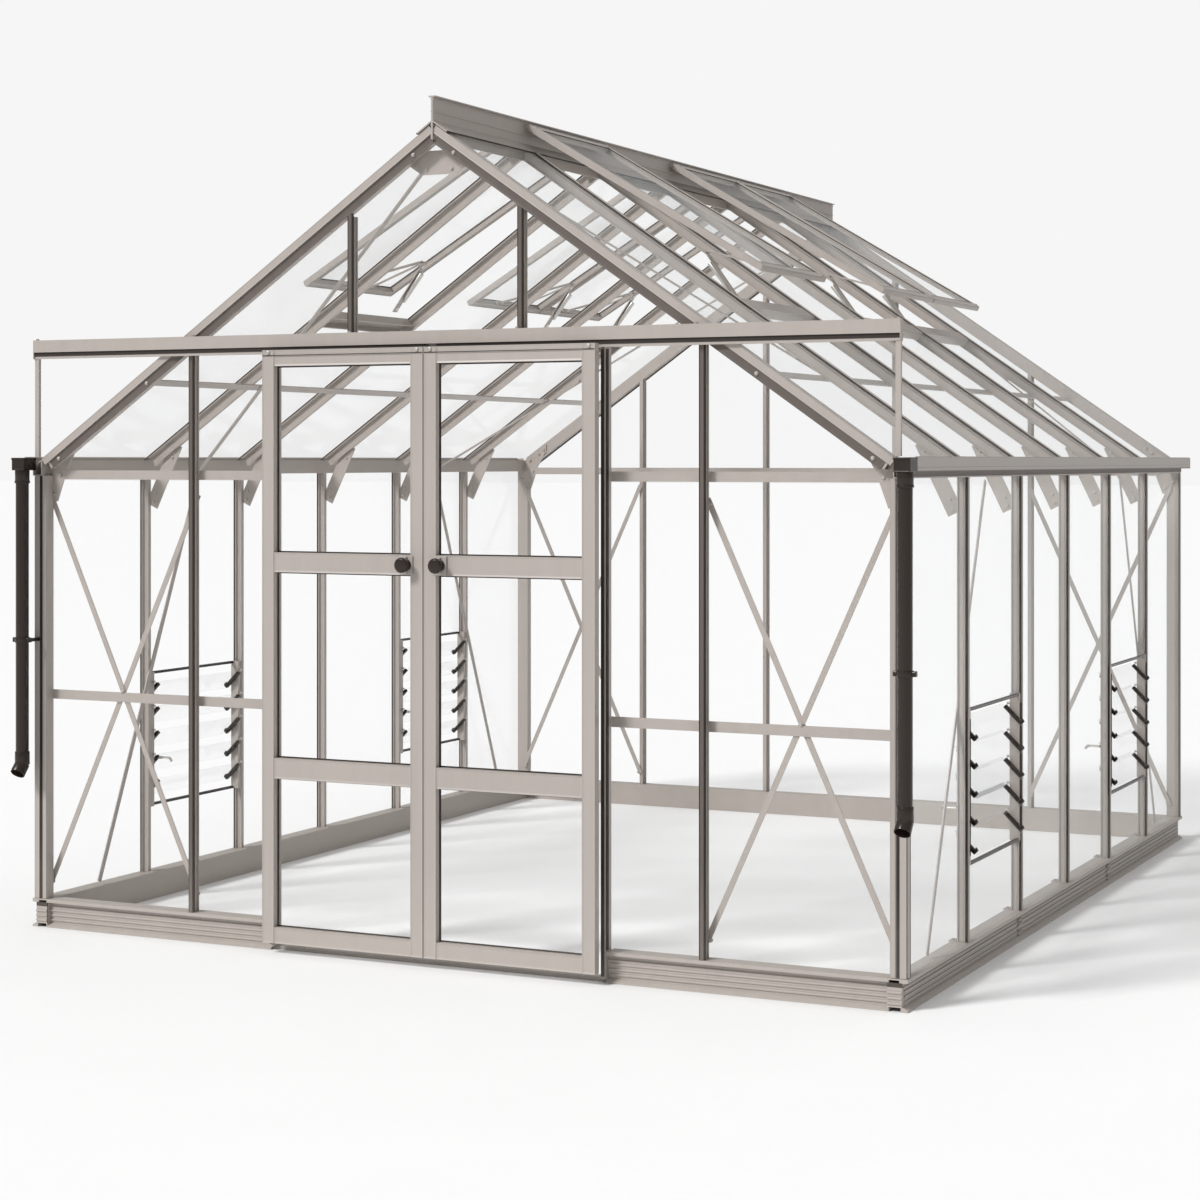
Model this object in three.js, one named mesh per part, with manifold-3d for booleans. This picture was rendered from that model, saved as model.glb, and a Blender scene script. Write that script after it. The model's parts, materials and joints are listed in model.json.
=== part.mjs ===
// Aluminium greenhouse, ten feet by twelve: painted frame on a plinth, sliding double
// doors in the front gable, six roof vents, four louvres and two downpipes.
// Millimetres, +Z up. The doors face -Y. The origin is the centre of the footprint,
// at the level of the ground.

import * as THREE from 'three';
import { mergeVertices } from 'three/addons/utils/BufferGeometryUtils.js';
import Module from 'manifold-3d';

// ---- Driving dimensions ----

const BAY = 610;                 // spacing of the glazing bars
const BAYS_LONG = 6;
const WALL_X = 1553;             // outer face of each side wall, at the bar caps
const WALL_Y = 1836;             // outer face of each gable
const CILL_TOP = 95;
const CILL_OVERHANG = 6;         // cill and plinth foot, beyond the wall face
const EAVES_Z = 1582;            // where the roof surface meets the wall face
const PITCH = THREE.MathUtils.degToRad(34.8);
const RIDGE_TOP = 2737;
const OVERRUN = 12;              // ridge and gutters run past the gables

const GAP = 0.3;                 // between pieces that touch
const GLASS = 3;
const GLASS_DEPTH = 8;           // back of the glass, below the face of a wall or roof
const BAR_FACE = 22;
const BAR_DEPTH = 27.7;
const RAFTER_FACE = 30;
const RAFTER_DEPTH = 38;
const GABLE_RAFTER_DEPTH = 46;
const FRAME_DEPTH = GLASS_DEPTH + GAP + BAR_DEPTH;       // face to the inner side of the bars
const RAFTER_INNER = GLASS_DEPTH + GAP + RAFTER_DEPTH;
const POST_WIDTH = 50;
const FLAT = 4;                  // thickness of ties, gussets and knees
const BRACE = 3.4;

const GUTTER_REACH = 37;
const BEAM_BOTTOM = 1538;

const JAMB_OUT = 600;            // outer side of each door jamb
const JAMB_WIDTH = 14;
const TRACK_HALF = 1541;
const TRACK_BOTTOM = 1935;
const TRACK_TOP = 1998;
const TRACK_FRONT = 24;          // how far the track stands in front of the gable
const LEAF_BACK = 39;            // back of a door leaf, in front of the gable
const LEAF_THICK = 30;
const LEAF_WIDTH = 592;
const LEAF_BOTTOM = 35;
const LEAF_TOP = 1945;
const STILE = 44;

const VENT_BAYS = [2, 4, 5];     // bays are numbered from the door end
const VENT_HINGE_X = 20;         // hinge line, beside the web of the ridge
const VENT_HINGE_Z = 2714;       // and just under its crest
const VENT_LENGTH = 981;
const VENT_SLOPE = THREE.MathUtils.degToRad(30.8);   // open by 6.4 degrees at rest

const LOUVRE_BAYS = [2, 5];
const LOUVRE_BOTTOM = 330;
const LOUVRE_TOP = 818;
const LOUVRE_RAIL = 8;
const BLADES = 5;
const BLADE_PITCH = 88;
const BLADE_WIDTH = 100;
const BLADE_ANGLE = Math.PI / 4;

const DOWNPIPE_RADIUS = 22;
const DOWNPIPE_OUT = 53;         // axis of a downpipe, in front of the gable
const DOWNPIPE_SIDE = 13;        // and outside the side wall

// ---- Paint, glass and plastic ----

const paint = new THREE.MeshStandardMaterial({ color: 0xaaa29c, roughness: 0.5, metalness: 0.1 });
const clear = new THREE.MeshStandardMaterial({
  color: 0xdfeceb, roughness: 0.05, metalness: 0, transparent: true, opacity: 0.3,
});
const black = new THREE.MeshStandardMaterial({ color: 0x29211d, roughness: 0.4, metalness: 0 });

// ---- Solids ----

const wasm = await Module();
wasm.setup();

function toSolid(geometry) {
  const bare = geometry.clone();
  bare.deleteAttribute('normal');
  bare.deleteAttribute('uv');
  const merged = mergeVertices(bare, 1e-3);
  return new wasm.Manifold(new wasm.Mesh({
    numProp: 3,
    vertProperties: new Float32Array(merged.attributes.position.array),
    triVerts: new Uint32Array(merged.index.array),
  }));
}

function toGeometry(solid) {
  const mesh = solid.getMesh();
  const geometry = new THREE.BufferGeometry();
  geometry.setAttribute('position', new THREE.BufferAttribute(mesh.vertProperties, 3));
  geometry.setIndex(new THREE.BufferAttribute(mesh.triVerts, 1));
  return geometry;
}

function join(...geometries) {
  return toGeometry(geometries.map(toSolid).reduce((whole, piece) => whole.add(piece)));
}

function cut(geometry, ...tools) {
  return toGeometry(tools.map(toSolid).reduce((rest, tool) => rest.subtract(tool), toSolid(geometry)));
}

// The same shape on the other side of the ridge: x changes sign and so does the winding.
function otherSide(geometry) {
  const merged = geometry.index ? geometry.clone() : mergeVertices(geometry, 1e-3);
  merged.scale(-1, 1, 1);
  const index = merged.index.array;
  for (let i = 0; i < index.length; i += 3) {
    [index[i], index[i + 1]] = [index[i + 1], index[i]];
  }
  return merged;
}

function box([x0, x1], [y0, y1], [z0, z1]) {
  const geometry = new THREE.BoxGeometry(x1 - x0, y1 - y0, z1 - z0);
  return geometry.translate((x0 + x1) / 2, (y0 + y1) / 2, (z0 + z1) / 2);
}

function outline(points) {
  return new THREE.Shape(points.map(([x, y]) => new THREE.Vector2(x, y)));
}

function extrude(shape, depth) {
  return new THREE.ExtrudeGeometry(shape, { depth, bevelEnabled: false, curveSegments: 12 });
}

// A section or panel drawn in x and z, run along Y from y0 to y1.
function alongY(shape, y0, y1) {
  return extrude(shape, y1 - y0).rotateX(Math.PI / 2).translate(0, y1, 0);
}

// A section run from one point to another. In the section, +y faces `outward`.
function member(section, from, to, outward) {
  const start = new THREE.Vector3(...from);
  const along = new THREE.Vector3(...to).sub(start);
  const length = along.length();
  along.normalize();
  const out = new THREE.Vector3(...outward);
  out.addScaledVector(along, -out.dot(along)).normalize();
  const across = new THREE.Vector3().crossVectors(out, along);
  const place = new THREE.Matrix4().makeBasis(across, out, along).setPosition(start);
  return extrude(section, length).applyMatrix4(place);
}

// ---- Sections: x across, y outward, with y = 0 on the outer face ----

function barSection(face = BAR_FACE, depth = BAR_DEPTH) {
  const half = face / 2;
  const foot = Math.min(8, half - 2);
  return outline([
    [-half, 0], [-half, -3], [-3, -7], [-3, 4 - depth], [-foot, 4 - depth], [-foot, -depth],
    [foot, -depth], [foot, 4 - depth], [3, 4 - depth], [3, -7], [half, -3], [half, 0],
  ]);
}

function tubeSection(width, depth, wall) {
  const half = width / 2;
  const section = outline([[-half, -depth], [half, -depth], [half, 0], [-half, 0]]);
  section.holes.push(outline([
    [wall - half, wall - depth], [wall - half, -wall], [half - wall, -wall], [half - wall, wall - depth],
  ]));
  return section;
}

function stripSection(width, thickness) {
  return outline([[-width / 2, -thickness], [width / 2, -thickness], [width / 2, 0], [-width / 2, 0]]);
}

// ---- Places ----

const barY = (number) => (number - BAYS_LONG / 2) * BAY;
const roofSlope = [Math.cos(PITCH), 0, -Math.sin(PITCH)];
const roofOut = [Math.sin(PITCH), 0, Math.cos(PITCH)];
const roofZ = (x) => EAVES_Z + (WALL_X - x) * Math.tan(PITCH);
const slopeLength = WALL_X / Math.cos(PITCH);

// A point on the right-hand slope: distance down from the apex, height above the
// roof surface, and place along the ridge.
function onRoof(down, above, y) {
  return [
    down * roofSlope[0] + above * roofOut[0],
    y,
    roofZ(0) + down * roofSlope[2] + above * roofOut[2],
  ];
}

// A shape drawn with x down the slope and y along the ridge, as a sheet on the roof.
function roofSheet(shape, above, thickness) {
  const down = new THREE.Vector3(...roofSlope);
  const out = new THREE.Vector3(...roofOut);
  const back = new THREE.Vector3(0, 1, 0);
  const place = new THREE.Matrix4().makeBasis(down, back, out);
  place.setPosition(new THREE.Vector3(...onRoof(0, above, 0)));
  return extrude(shape, thickness).applyMatrix4(place);
}

// ---- Base, eaves and ridge ----

const PLINTH_DEPTH = 62;
const DOOR_SILL_HEIGHT = 12;

// Inverted channel, drawn from the edge of the cill inwards: a foot flange, a face
// set back from it, and a groove under the cill.
function plinthSection() {
  const inner = -PLINTH_DEPTH;
  return outline([
    [0, 0], [0, 5], [-12, 12], [-18, 14], [-18, 68], [-22, 72], [-22, 82], [0, 84], [0, CILL_TOP],
    [inner, CILL_TOP], [inner, 0], [inner + 4, 0], [inner + 4, CILL_TOP - 4], [-26, CILL_TOP - 4],
    [-26, 71], [-22, 67], [-22, 0],
  ]);
}

function sidePlinth() {
  const end = WALL_Y + CILL_OVERHANG;
  return alongY(plinthSection(), -end, end).translate(WALL_X + CILL_OVERHANG, 0, 0);
}

// Runs between the side plinths. `side` is -1 at the door end and +1 at the back.
function gablePlinth(side) {
  const end = WALL_X + CILL_OVERHANG - PLINTH_DEPTH - GAP;
  const run = alongY(plinthSection(), -end, end).rotateZ(Math.PI / 2);
  const place = WALL_Y + CILL_OVERHANG;
  return side > 0 ? run.translate(0, place, 0) : run.rotateZ(Math.PI).translate(0, -place, 0);
}

function frontPlinth() {
  const front = -WALL_Y - CILL_OVERHANG;
  const half = JAMB_OUT + GAP;
  const doorway = box([-half, half], [front - 10, front + PLINTH_DEPTH + 10], [-10, CILL_TOP + 10]);
  const sill = box(
    [-half - 5, half + 5],
    [front + 18, front + PLINTH_DEPTH - 1],
    [0, DOOR_SILL_HEIGHT],
  );
  return join(cut(gablePlinth(-1), doorway), sill);
}

// Hollow eaves beam with the rain trough on its outer side.
function eavesGutter() {
  const inner = WALL_X - FRAME_DEPTH - 0.7;
  const lip = WALL_X + GUTTER_REACH;
  const trough = 1560;
  const section = outline([
    [inner, BEAM_BOTTOM], [WALL_X, BEAM_BOTTOM], [WALL_X, trough], [lip, trough], [lip, 1598],
    [lip - 7, 1598], [lip - 7, 1595], [lip - 3, 1595], [lip - 3, trough + 3], [WALL_X, trough + 3],
    [WALL_X, 1568], [inner + 5, 1590], [inner, 1590],
  ]);
  section.holes.push(outline([
    [inner + 3, BEAM_BOTTOM + 3], [inner + 3, 1587], [WALL_X - 3, 1566], [WALL_X - 3, BEAM_BOTTOM + 3],
  ]));
  const end = WALL_Y + OVERRUN;
  return alongY(section, -end, end);
}

// Upright web with a top flange, and a wing down each slope over the glass.
function ridgeBeam() {
  const end = WALL_Y + OVERRUN;
  const web = box([-3, 3], [-end, end], [2600, RIDGE_TOP]);
  const flange = box([-12, 12], [-end, end], [RIDGE_TOP - 4, RIDGE_TOP]);
  const wingShape = outline([[0, -end], [66, -end], [66, end], [0, end]]);
  const wing = roofSheet(wingShape, GLASS + GAP - GLASS_DEPTH, FLAT);
  return join(web, flange, wing, otherSide(wing));
}

// ---- Gable frames ----

const UPPER_FLAT = [1525, 1556];
const LOWER_FLAT = [775, 807];
const BRACE_TOP = 1475;
const BRACE_FOOT = 145;

const rafterUnderside = (x) => roofZ(x) - (GLASS_DEPTH + GAP + GABLE_RAFTER_DEPTH) / Math.cos(PITCH);

// A gable is drawn at the back (+Y outward); the front one is turned by half a turn.
function gableBar(x) {
  const y = WALL_Y - GLASS_DEPTH - GAP;
  const top = rafterUnderside(Math.abs(x)) + 12;
  return member(barSection(), [x, y, CILL_TOP + GAP], [x, y, top], [0, 1, 0]);
}

function gableFlat(x0, x1, [z0, z1]) {
  const inner = WALL_Y - FRAME_DEPTH;
  return box([x0, x1], [inner - FLAT, inner + GAP], [z0, z1]);
}

function gableBrace(from, to, layer) {
  const y = WALL_Y - FRAME_DEPTH - FLAT + GAP - layer * (BRACE - GAP);
  return member(stripSection(18, BRACE), [from[0], y, from[1]], [to[0], y, to[1]], [0, 1, 0]);
}

function crossBraces(x0, x1) {
  return [
    gableBrace([x0, BRACE_FOOT], [x1, BRACE_TOP], 0),
    gableBrace([x0, BRACE_TOP], [x1, BRACE_FOOT], 1),
  ];
}

function gablePlate(points) {
  const inner = WALL_Y - FRAME_DEPTH;
  return alongY(outline(points), inner - FLAT, inner + GAP);
}

const beamInner = WALL_X - FRAME_DEPTH - 1;

function cornerGusset() {
  return gablePlate([
    [beamInner - 30, 1450], [beamInner + 10, 1450], [beamInner + 10, 1537.5], [beamInner, 1537.5],
    [beamInner, 1590], [beamInner - 60, 1630], [beamInner - 115, 1665], [beamInner - 112, 1634],
    [beamInner - 70, 1560],
  ]);
}

function gableHalf(flatInner, lowerFlat) {
  const corner = WALL_X - POST_WIDTH / 2;
  const post = member(
    tubeSection(POST_WIDTH, FRAME_DEPTH, 3),
    [corner, WALL_Y, CILL_TOP + GAP],
    [corner, WALL_Y, BEAM_BOTTOM - GAP],
    [0, 1, 0],
  );
  const y = WALL_Y - FRAME_DEPTH / 2;
  const rafter = member(
    tubeSection(FRAME_DEPTH, GABLE_RAFTER_DEPTH, 3),
    onRoof(beamInner / Math.cos(PITCH), -GLASS_DEPTH - GAP, y),
    onRoof(-40, -GLASS_DEPTH - GAP, y),
    roofOut,
  );
  const pastRidge = box([-200, 3 + GAP], [0, 2 * WALL_Y], [2000, 3000]);
  const flats = [gableFlat(flatInner, beamInner, UPPER_FLAT)];
  if (lowerFlat) flats.push(gableFlat(flatInner, WALL_X - 20, LOWER_FLAT));
  return [post, cut(rafter, pastRidge), cornerGusset(), ...flats];
}

function apexGusset() {
  return gablePlate([[-115, 2530], [-62, 2494], [62, 2494], [115, 2530], [40, 2570], [-40, 2570]]);
}

function bothSides(geometries) {
  return [...geometries, ...geometries.map(otherSide)];
}

function frontGable() {
  const half = [
    ...gableHalf(JAMB_OUT + GAP, true),
    gableBar(1.5 * BAY),
    ...crossBraces(1.5 * BAY, WALL_X - 35),
  ];
  return join(...bothSides(half), apexGusset()).rotateZ(Math.PI);
}

function rearGable() {
  const half = [
    ...gableHalf(-1, false),
    gableBar(1.5 * BAY),
    gableBar(0.5 * BAY),
    ...crossBraces(1.5 * BAY, WALL_X - 35),
  ];
  return join(...bothSides(half), apexGusset());
}

// ---- Ribs: wall bar, knee and rafter, with what hangs on them ----

const PURLIN_DOWN = 1352;        // down the slope from the apex
const SILL_DOWN = 978;
const SILL_WIDTH = 56;

function wallBar(y) {
  const x = WALL_X - GLASS_DEPTH - GAP;
  return member(barSection(), [x, y, CILL_TOP + GAP], [x, y, BEAM_BOTTOM - GAP], [1, 0, 0]);
}

function rafter(y) {
  const foot = beamInner / Math.cos(PITCH);
  const above = -GLASS_DEPTH - GAP;
  const section = barSection(RAFTER_FACE, RAFTER_DEPTH);
  const whole = member(section, onRoof(foot, above, y), onRoof(-40, above, y), roofOut);
  return cut(whole, box([-200, 3 + GAP], [y - 50, y + 50], [2000, 3000]));
}

function knee(y) {
  return member(stripSection(50, FLAT), [1509, y + 6, 1425], [1401, y + 6, 1648], [0, 1, 0]);
}

// The purlin lies under the rafters, in lengths that meet just past each rib.
function purlin(number) {
  const lap = 10;
  const gableFace = WALL_Y - FRAME_DEPTH - FLAT - 1;
  const start = number === 1 ? -gableFace : barY(number - 1) + lap + GAP;
  const end = number === BAYS_LONG - 1 ? gableFace : barY(number) + lap;
  const upper = PURLIN_DOWN - 15;
  const lower = PURLIN_DOWN + 15;
  const shape = outline([[upper, start], [lower, start], [lower, end], [upper, end]]);
  return roofSheet(shape, -RAFTER_INNER - FLAT, FLAT + GAP);
}

// A channel open below, hung between two rafters: its top web lies against the first
// rafter and its upstand, which the closed vent rests over, clears the glass.
function ventSill(number) {
  const half = SILL_WIDTH / 2;
  const start = barY(number);
  const flange = RAFTER_FACE / 2 + GAP;
  const end = barY(number + 1) - flange;
  const strip = (x0, x1, y0, above, thickness) => roofSheet(outline([
    [SILL_DOWN + x0, y0], [SILL_DOWN + x1, y0], [SILL_DOWN + x1, end], [SILL_DOWN + x0, end],
  ]), above, thickness);
  const web = GLASS_DEPTH + 3 * GAP;
  return [
    strip(-half, half, start, -web - 4, 4),
    strip(-half, 4 - half, start, -36, 24),
    strip(half - 4, half, start, -36, 24),
    strip(-half, half, start + flange, -web - 1, web - 2),
  ];
}

function louvreFrame(number) {
  const x = [WALL_X - FRAME_DEPTH + 1, WALL_X - 3];
  const near = barY(number) + 10 + GAP;
  const far = barY(number + 1) - BAR_FACE / 2 - GAP;
  const railX = [WALL_X - 14, WALL_X - 3];
  const height = [LOUVRE_BOTTOM, LOUVRE_TOP];
  return [
    box(x, [near, near + 20], height),
    box(x, [far - 18, far], height),
    box(railX, [near, far], [LOUVRE_BOTTOM, LOUVRE_BOTTOM + LOUVRE_RAIL]),
    box(railX, [near, far], [LOUVRE_TOP - LOUVRE_RAIL, LOUVRE_TOP]),
  ];
}

// Flat braces that run from the foot and the apex of a gable, across the first rib.
// `side` is -1 for the door end.
function diagonals(side) {
  const wallX = WALL_X - FRAME_DEPTH + GAP;
  const wall = member(
    stripSection(20, BRACE),
    [wallX, side * 2.5 * BAY, CILL_TOP + 12],
    [wallX, side * 1.5 * BAY, BEAM_BOTTOM - 12],
    [1, 0, 0],
  );
  // The roof brace passes under the purlin, and is packed down from the first rafter.
  const above = -RAFTER_INNER - FLAT - GAP;
  const apexEnd = { down: 75, y: side * 2.86 * BAY };
  const eavesEnd = { down: slopeLength - 16, y: side * 1.5 * BAY };
  const roof = member(
    stripSection(20, BRACE),
    onRoof(apexEnd.down, above, apexEnd.y),
    onRoof(eavesEnd.down, above, eavesEnd.y),
    roofOut,
  );
  const share = (2 * BAY - Math.abs(apexEnd.y)) / (1.5 * BAY - Math.abs(apexEnd.y));
  const crossing = THREE.MathUtils.lerp(apexEnd.down, eavesEnd.down, share);
  const packing = member(
    stripSection(16, FLAT + 3 * GAP),
    onRoof(crossing - 20, -RAFTER_INNER + GAP, side * 2 * BAY),
    onRoof(crossing + 20, -RAFTER_INNER + GAP, side * 2 * BAY),
    roofOut,
  );
  return [wall, roof, packing];
}

function rib(number) {
  const y = barY(number);
  const pieces = [wallBar(y), rafter(y), knee(y), purlin(number)];
  if (VENT_BAYS.includes(number + 1)) pieces.push(...ventSill(number));
  if (LOUVRE_BAYS.includes(number + 1)) pieces.push(...louvreFrame(number));
  if (number === 1) pieces.push(...diagonals(-1));
  if (number === BAYS_LONG - 1) pieces.push(...diagonals(1));
  return join(...pieces);
}

// ---- Glass ----

function wallGlass() {
  const end = WALL_Y - FRAME_DEPTH - GAP;
  const face = WALL_X - GLASS_DEPTH;
  const sheet = box([face, face + GLASS], [-end, end], [CILL_TOP + GAP, BEAM_BOTTOM - GAP]);
  const openings = LOUVRE_BAYS.map((bay) => box(
    [face - 5, face + GLASS + 5],
    [barY(bay - 1) + 10, barY(bay) - 10],
    [LOUVRE_BOTTOM - GAP, LOUVRE_TOP + GAP],
  ));
  return cut(sheet, ...openings);
}

function gableGlass(doorway) {
  const edge = WALL_X - POST_WIDTH - GAP;
  const top = (x) => rafterUnderside(x) - GAP;
  const right = [
    [edge, CILL_TOP + GAP],
    [edge, Math.min(top(edge), BEAM_BOTTOM - 1)],
    [edge - 0.5, top(edge)],
    [0, top(0)],
  ];
  const left = right.slice(0, 3).reverse().map(([x, z]) => [-x, z]);
  const opening = [
    [-JAMB_OUT - GAP, CILL_TOP + GAP], [-JAMB_OUT - GAP, TRACK_TOP + GAP],
    [JAMB_OUT + GAP, TRACK_TOP + GAP], [JAMB_OUT + GAP, CILL_TOP + GAP],
  ];
  const pane = outline([...right, ...left, ...(doorway ? opening : [])]);
  const sheet = alongY(pane, WALL_Y - GLASS_DEPTH, WALL_Y - GLASS_DEPTH + GLASS);
  return doorway ? sheet.rotateZ(Math.PI) : sheet;
}

// Runs from the trough to the ridge, with a bay left out above each vent sill.
function roofGlass() {
  const low = slopeLength + 9;
  const high = 16;
  const sill = SILL_DOWN + SILL_WIDTH / 2 + GAP;
  const notch = (first, last) => {
    const y0 = barY(first - 1) + RAFTER_FACE / 2;
    const y1 = barY(last) - RAFTER_FACE / 2;
    return [[high, y1], [sill, y1], [sill, y0], [high, y0]];
  };
  const pane = outline([
    [high, -WALL_Y], [low, -WALL_Y], [low, WALL_Y], [high, WALL_Y], ...notch(4, 5), ...notch(2, 2),
  ]);
  return roofSheet(pane, -GLASS_DEPTH, GLASS);
}

// ---- Door frame and doors ----

function doorFrame() {
  const inner = FRAME_DEPTH - WALL_Y;
  const jambX = JAMB_OUT - JAMB_WIDTH / 2;
  const jamb = member(
    tubeSection(JAMB_WIDTH, FRAME_DEPTH + 10, 3),
    [jambX, -WALL_Y - 10, DOOR_SILL_HEIGHT + GAP],
    [jambX, -WALL_Y - 10, TRACK_TOP - 20],
    [0, -1, 0],
  );
  const mullionX = 0.5 * BAY;
  const mullionY = GLASS_DEPTH + GAP - WALL_Y;
  const mullion = member(
    barSection(),
    [mullionX, mullionY, TRACK_TOP - 5],
    [mullionX, mullionY, rafterUnderside(mullionX) - 12],
    [0, -1, 0],
  );
  const strut = box([TRACK_HALF - 16, TRACK_HALF], [-WALL_Y - 16, -WALL_Y - 4], [1602, TRACK_BOTTOM + 5]);
  const header = box([-JAMB_OUT, JAMB_OUT], [-WALL_Y - 1, inner], [TRACK_BOTTOM + 8, TRACK_TOP]);
  // Track: a channel with a deep front fascia and a roller lip below it.
  const front = -WALL_Y - TRACK_FRONT;
  const back = -WALL_Y - 1;
  const lipTop = TRACK_BOTTOM + 8;
  const fasciaBottom = TRACK_BOTTOM + 22;
  const track = outline([
    [back, TRACK_BOTTOM], [front + 6, TRACK_BOTTOM], [front + 6, lipTop], [back - 5, lipTop],
    [back - 5, TRACK_TOP - 4], [front + 4, TRACK_TOP - 4], [front + 4, fasciaBottom],
    [front, fasciaBottom], [front, TRACK_TOP], [back, TRACK_TOP],
  ]);
  const rail = extrude(track, 2 * TRACK_HALF)
    .applyMatrix4(new THREE.Matrix4().makeBasis(
      new THREE.Vector3(0, 1, 0),
      new THREE.Vector3(0, 0, 1),
      new THREE.Vector3(1, 0, 0),
    ))
    .translate(-TRACK_HALF, 0, 0);
  return join(rail, header, ...bothSides([jamb, mullion, strut]));
}

const LEAF_RAILS = [[LEAF_BOTTOM, 87], [566, 632], [1230, 1294], [1893, LEAF_TOP]];

// The right-hand leaf, closed: it meets the other one at the middle of the doorway.
function doorLeaf() {
  const x0 = 1.5;
  const x1 = x0 + LEAF_WIDTH;
  const leaf = outline([[x0, LEAF_BOTTOM], [x1, LEAF_BOTTOM], [x1, LEAF_TOP], [x0, LEAF_TOP]]);
  for (let i = 1; i < LEAF_RAILS.length; i += 1) {
    const low = LEAF_RAILS[i - 1][1];
    const high = LEAF_RAILS[i][0];
    leaf.holes.push(outline([
      [x0 + STILE, low], [x0 + STILE, high], [x1 - STILE, high], [x1 - STILE, low],
    ]));
  }
  const back = -WALL_Y - LEAF_BACK;
  return alongY(leaf, back - LEAF_THICK, back);
}

function doorGlass() {
  const back = -WALL_Y - LEAF_BACK;
  return box([STILE - 20, LEAF_WIDTH - STILE + 23], [back + GAP, back + GAP + GLASS], [60, 1920]);
}

function doorKnob() {
  const radius = 25;
  const profile = [
    [0, 0], [17, 0], [17, 6], [9, 10], [9, 20],
    [radius - 4, 24], [radius, 29], [radius, 34], [radius - 5, 39], [0, 40],
  ];
  const knob = new THREE.LatheGeometry(profile.map(([r, y]) => new THREE.Vector2(r, y)), 20);
  const face = -WALL_Y - LEAF_BACK - LEAF_THICK - GAP;
  return knob.rotateX(Math.PI).translate(60, face, 1262);
}

// ---- Vents ----

// Drawn with x down from the hinge and y along the ridge, then turned to its slope at
// rest. A rim all round stands below and above the pane, and a round barrel along the
// hinge line keeps the rim clear of the ridge as the vent opens.
function ventSash(bay) {
  const half = BAY / 2 - 5;
  const start = 6;
  const rectangle = (inset) => outline([
    [start + inset, inset - half], [VENT_LENGTH - inset, inset - half],
    [VENT_LENGTH - inset, half - inset], [start + inset, half - inset],
  ]);
  const frame = rectangle(0);
  frame.holes.push(rectangle(28));
  const rim = extrude(frame, 22).translate(0, 0, -12);
  const pane = extrude(rectangle(5), GLASS).translate(0, 0, 4);
  const barrel = new THREE.CylinderGeometry(8, 8, 2 * half, 24);
  const sash = join(rim, pane, barrel);
  return sash.rotateY(VENT_SLOPE).translate(VENT_HINGE_X, barY(bay) - BAY / 2, VENT_HINGE_Z);
}

// ---- Louvre blades ----

// A glass blade sloping down towards the outside, held at each end in a clip that turns
// on a round pin.
function louvreBlade(bay, row) {
  const start = barY(bay - 1) + 32;
  const end = barY(bay) - 35.5;
  const half = BLADE_WIDTH / 2;
  const middle = (start + end) / 2;
  const length = end - start;
  const strip = box([-half, half], [-length / 2, length / 2], [-2, 2]);
  const clip = (y) => box([-half + 12, half - 12], [y - 7, y + 7], [-6, 6]);
  const pin = (from, to) => new THREE.CylinderGeometry(5, 5, to - from, 24)
    .translate(0, (from + to) / 2, 0);
  const blade = join(
    strip,
    clip(7 - length / 2),
    clip(length / 2 - 7),
    pin(-length / 2 - 1.2, 13 - length / 2),
    pin(length / 2 - 13, length / 2 + 5.6),
  );
  const z = (LOUVRE_BOTTOM + LOUVRE_TOP) / 2 + (row - (BLADES + 1) / 2) * BLADE_PITCH;
  return blade.rotateY(BLADE_ANGLE).translate(WALL_X - 20, middle, z);
}

// ---- Downpipes ----

// Outlet box on the gutter's front end, a pipe below it and a shoe turned forward.
function downpipe() {
  const x = WALL_X + DOWNPIPE_SIDE;
  const y = -WALL_Y - DOWNPIPE_OUT;
  const outletFront = y - DOWNPIPE_RADIUS - 5;
  const gutterEnd = -WALL_Y - OVERRUN - GAP;
  const outlet = box([WALL_X - 14, WALL_X + GUTTER_REACH], [outletFront, gutterEnd], [1556, 1600]);
  const bottom = 560;
  const height = 1560 - bottom;
  const pipe = new THREE.CylinderGeometry(DOWNPIPE_RADIUS, DOWNPIPE_RADIUS, height, 16)
    .rotateX(Math.PI / 2).translate(x, y, bottom + height / 2);
  const shoe = new THREE.CylinderGeometry(DOWNPIPE_RADIUS + 3, DOWNPIPE_RADIUS + 3, 56, 16)
    .rotateX(Math.PI / 2 - 0.35).translate(x, y + 2, bottom - 4);
  const socket = new THREE.CylinderGeometry(DOWNPIPE_RADIUS + 3, DOWNPIPE_RADIUS + 3, 30, 16)
    .rotateX(Math.PI / 2).translate(x, y, bottom + 22);
  const clip = new THREE.CylinderGeometry(DOWNPIPE_RADIUS + 4, DOWNPIPE_RADIUS + 4, 18, 16)
    .rotateX(Math.PI / 2).translate(x, y, 980);
  const arm = box([x - 32, x - 20], [y - 8, y + 8], [972, 988]);
  const leg = box([x - 34, x - 26], [y - 8, -WALL_Y - GAP], [972, 988]);
  return join(outlet, pipe, socket, shoe, clip, arm, leg);
}

// ---- Assembly ----

const greenhouse = new THREE.Group();

function add(name, geometry, material) {
  const mesh = new THREE.Mesh(geometry, material);
  mesh.name = name;
  greenhouse.add(mesh);
}

function addPair(name, geometry, material, suffix = '') {
  add(`${name}_right${suffix}`, geometry, material);
  add(`${name}_left${suffix}`, otherSide(geometry), material);
}

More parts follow.
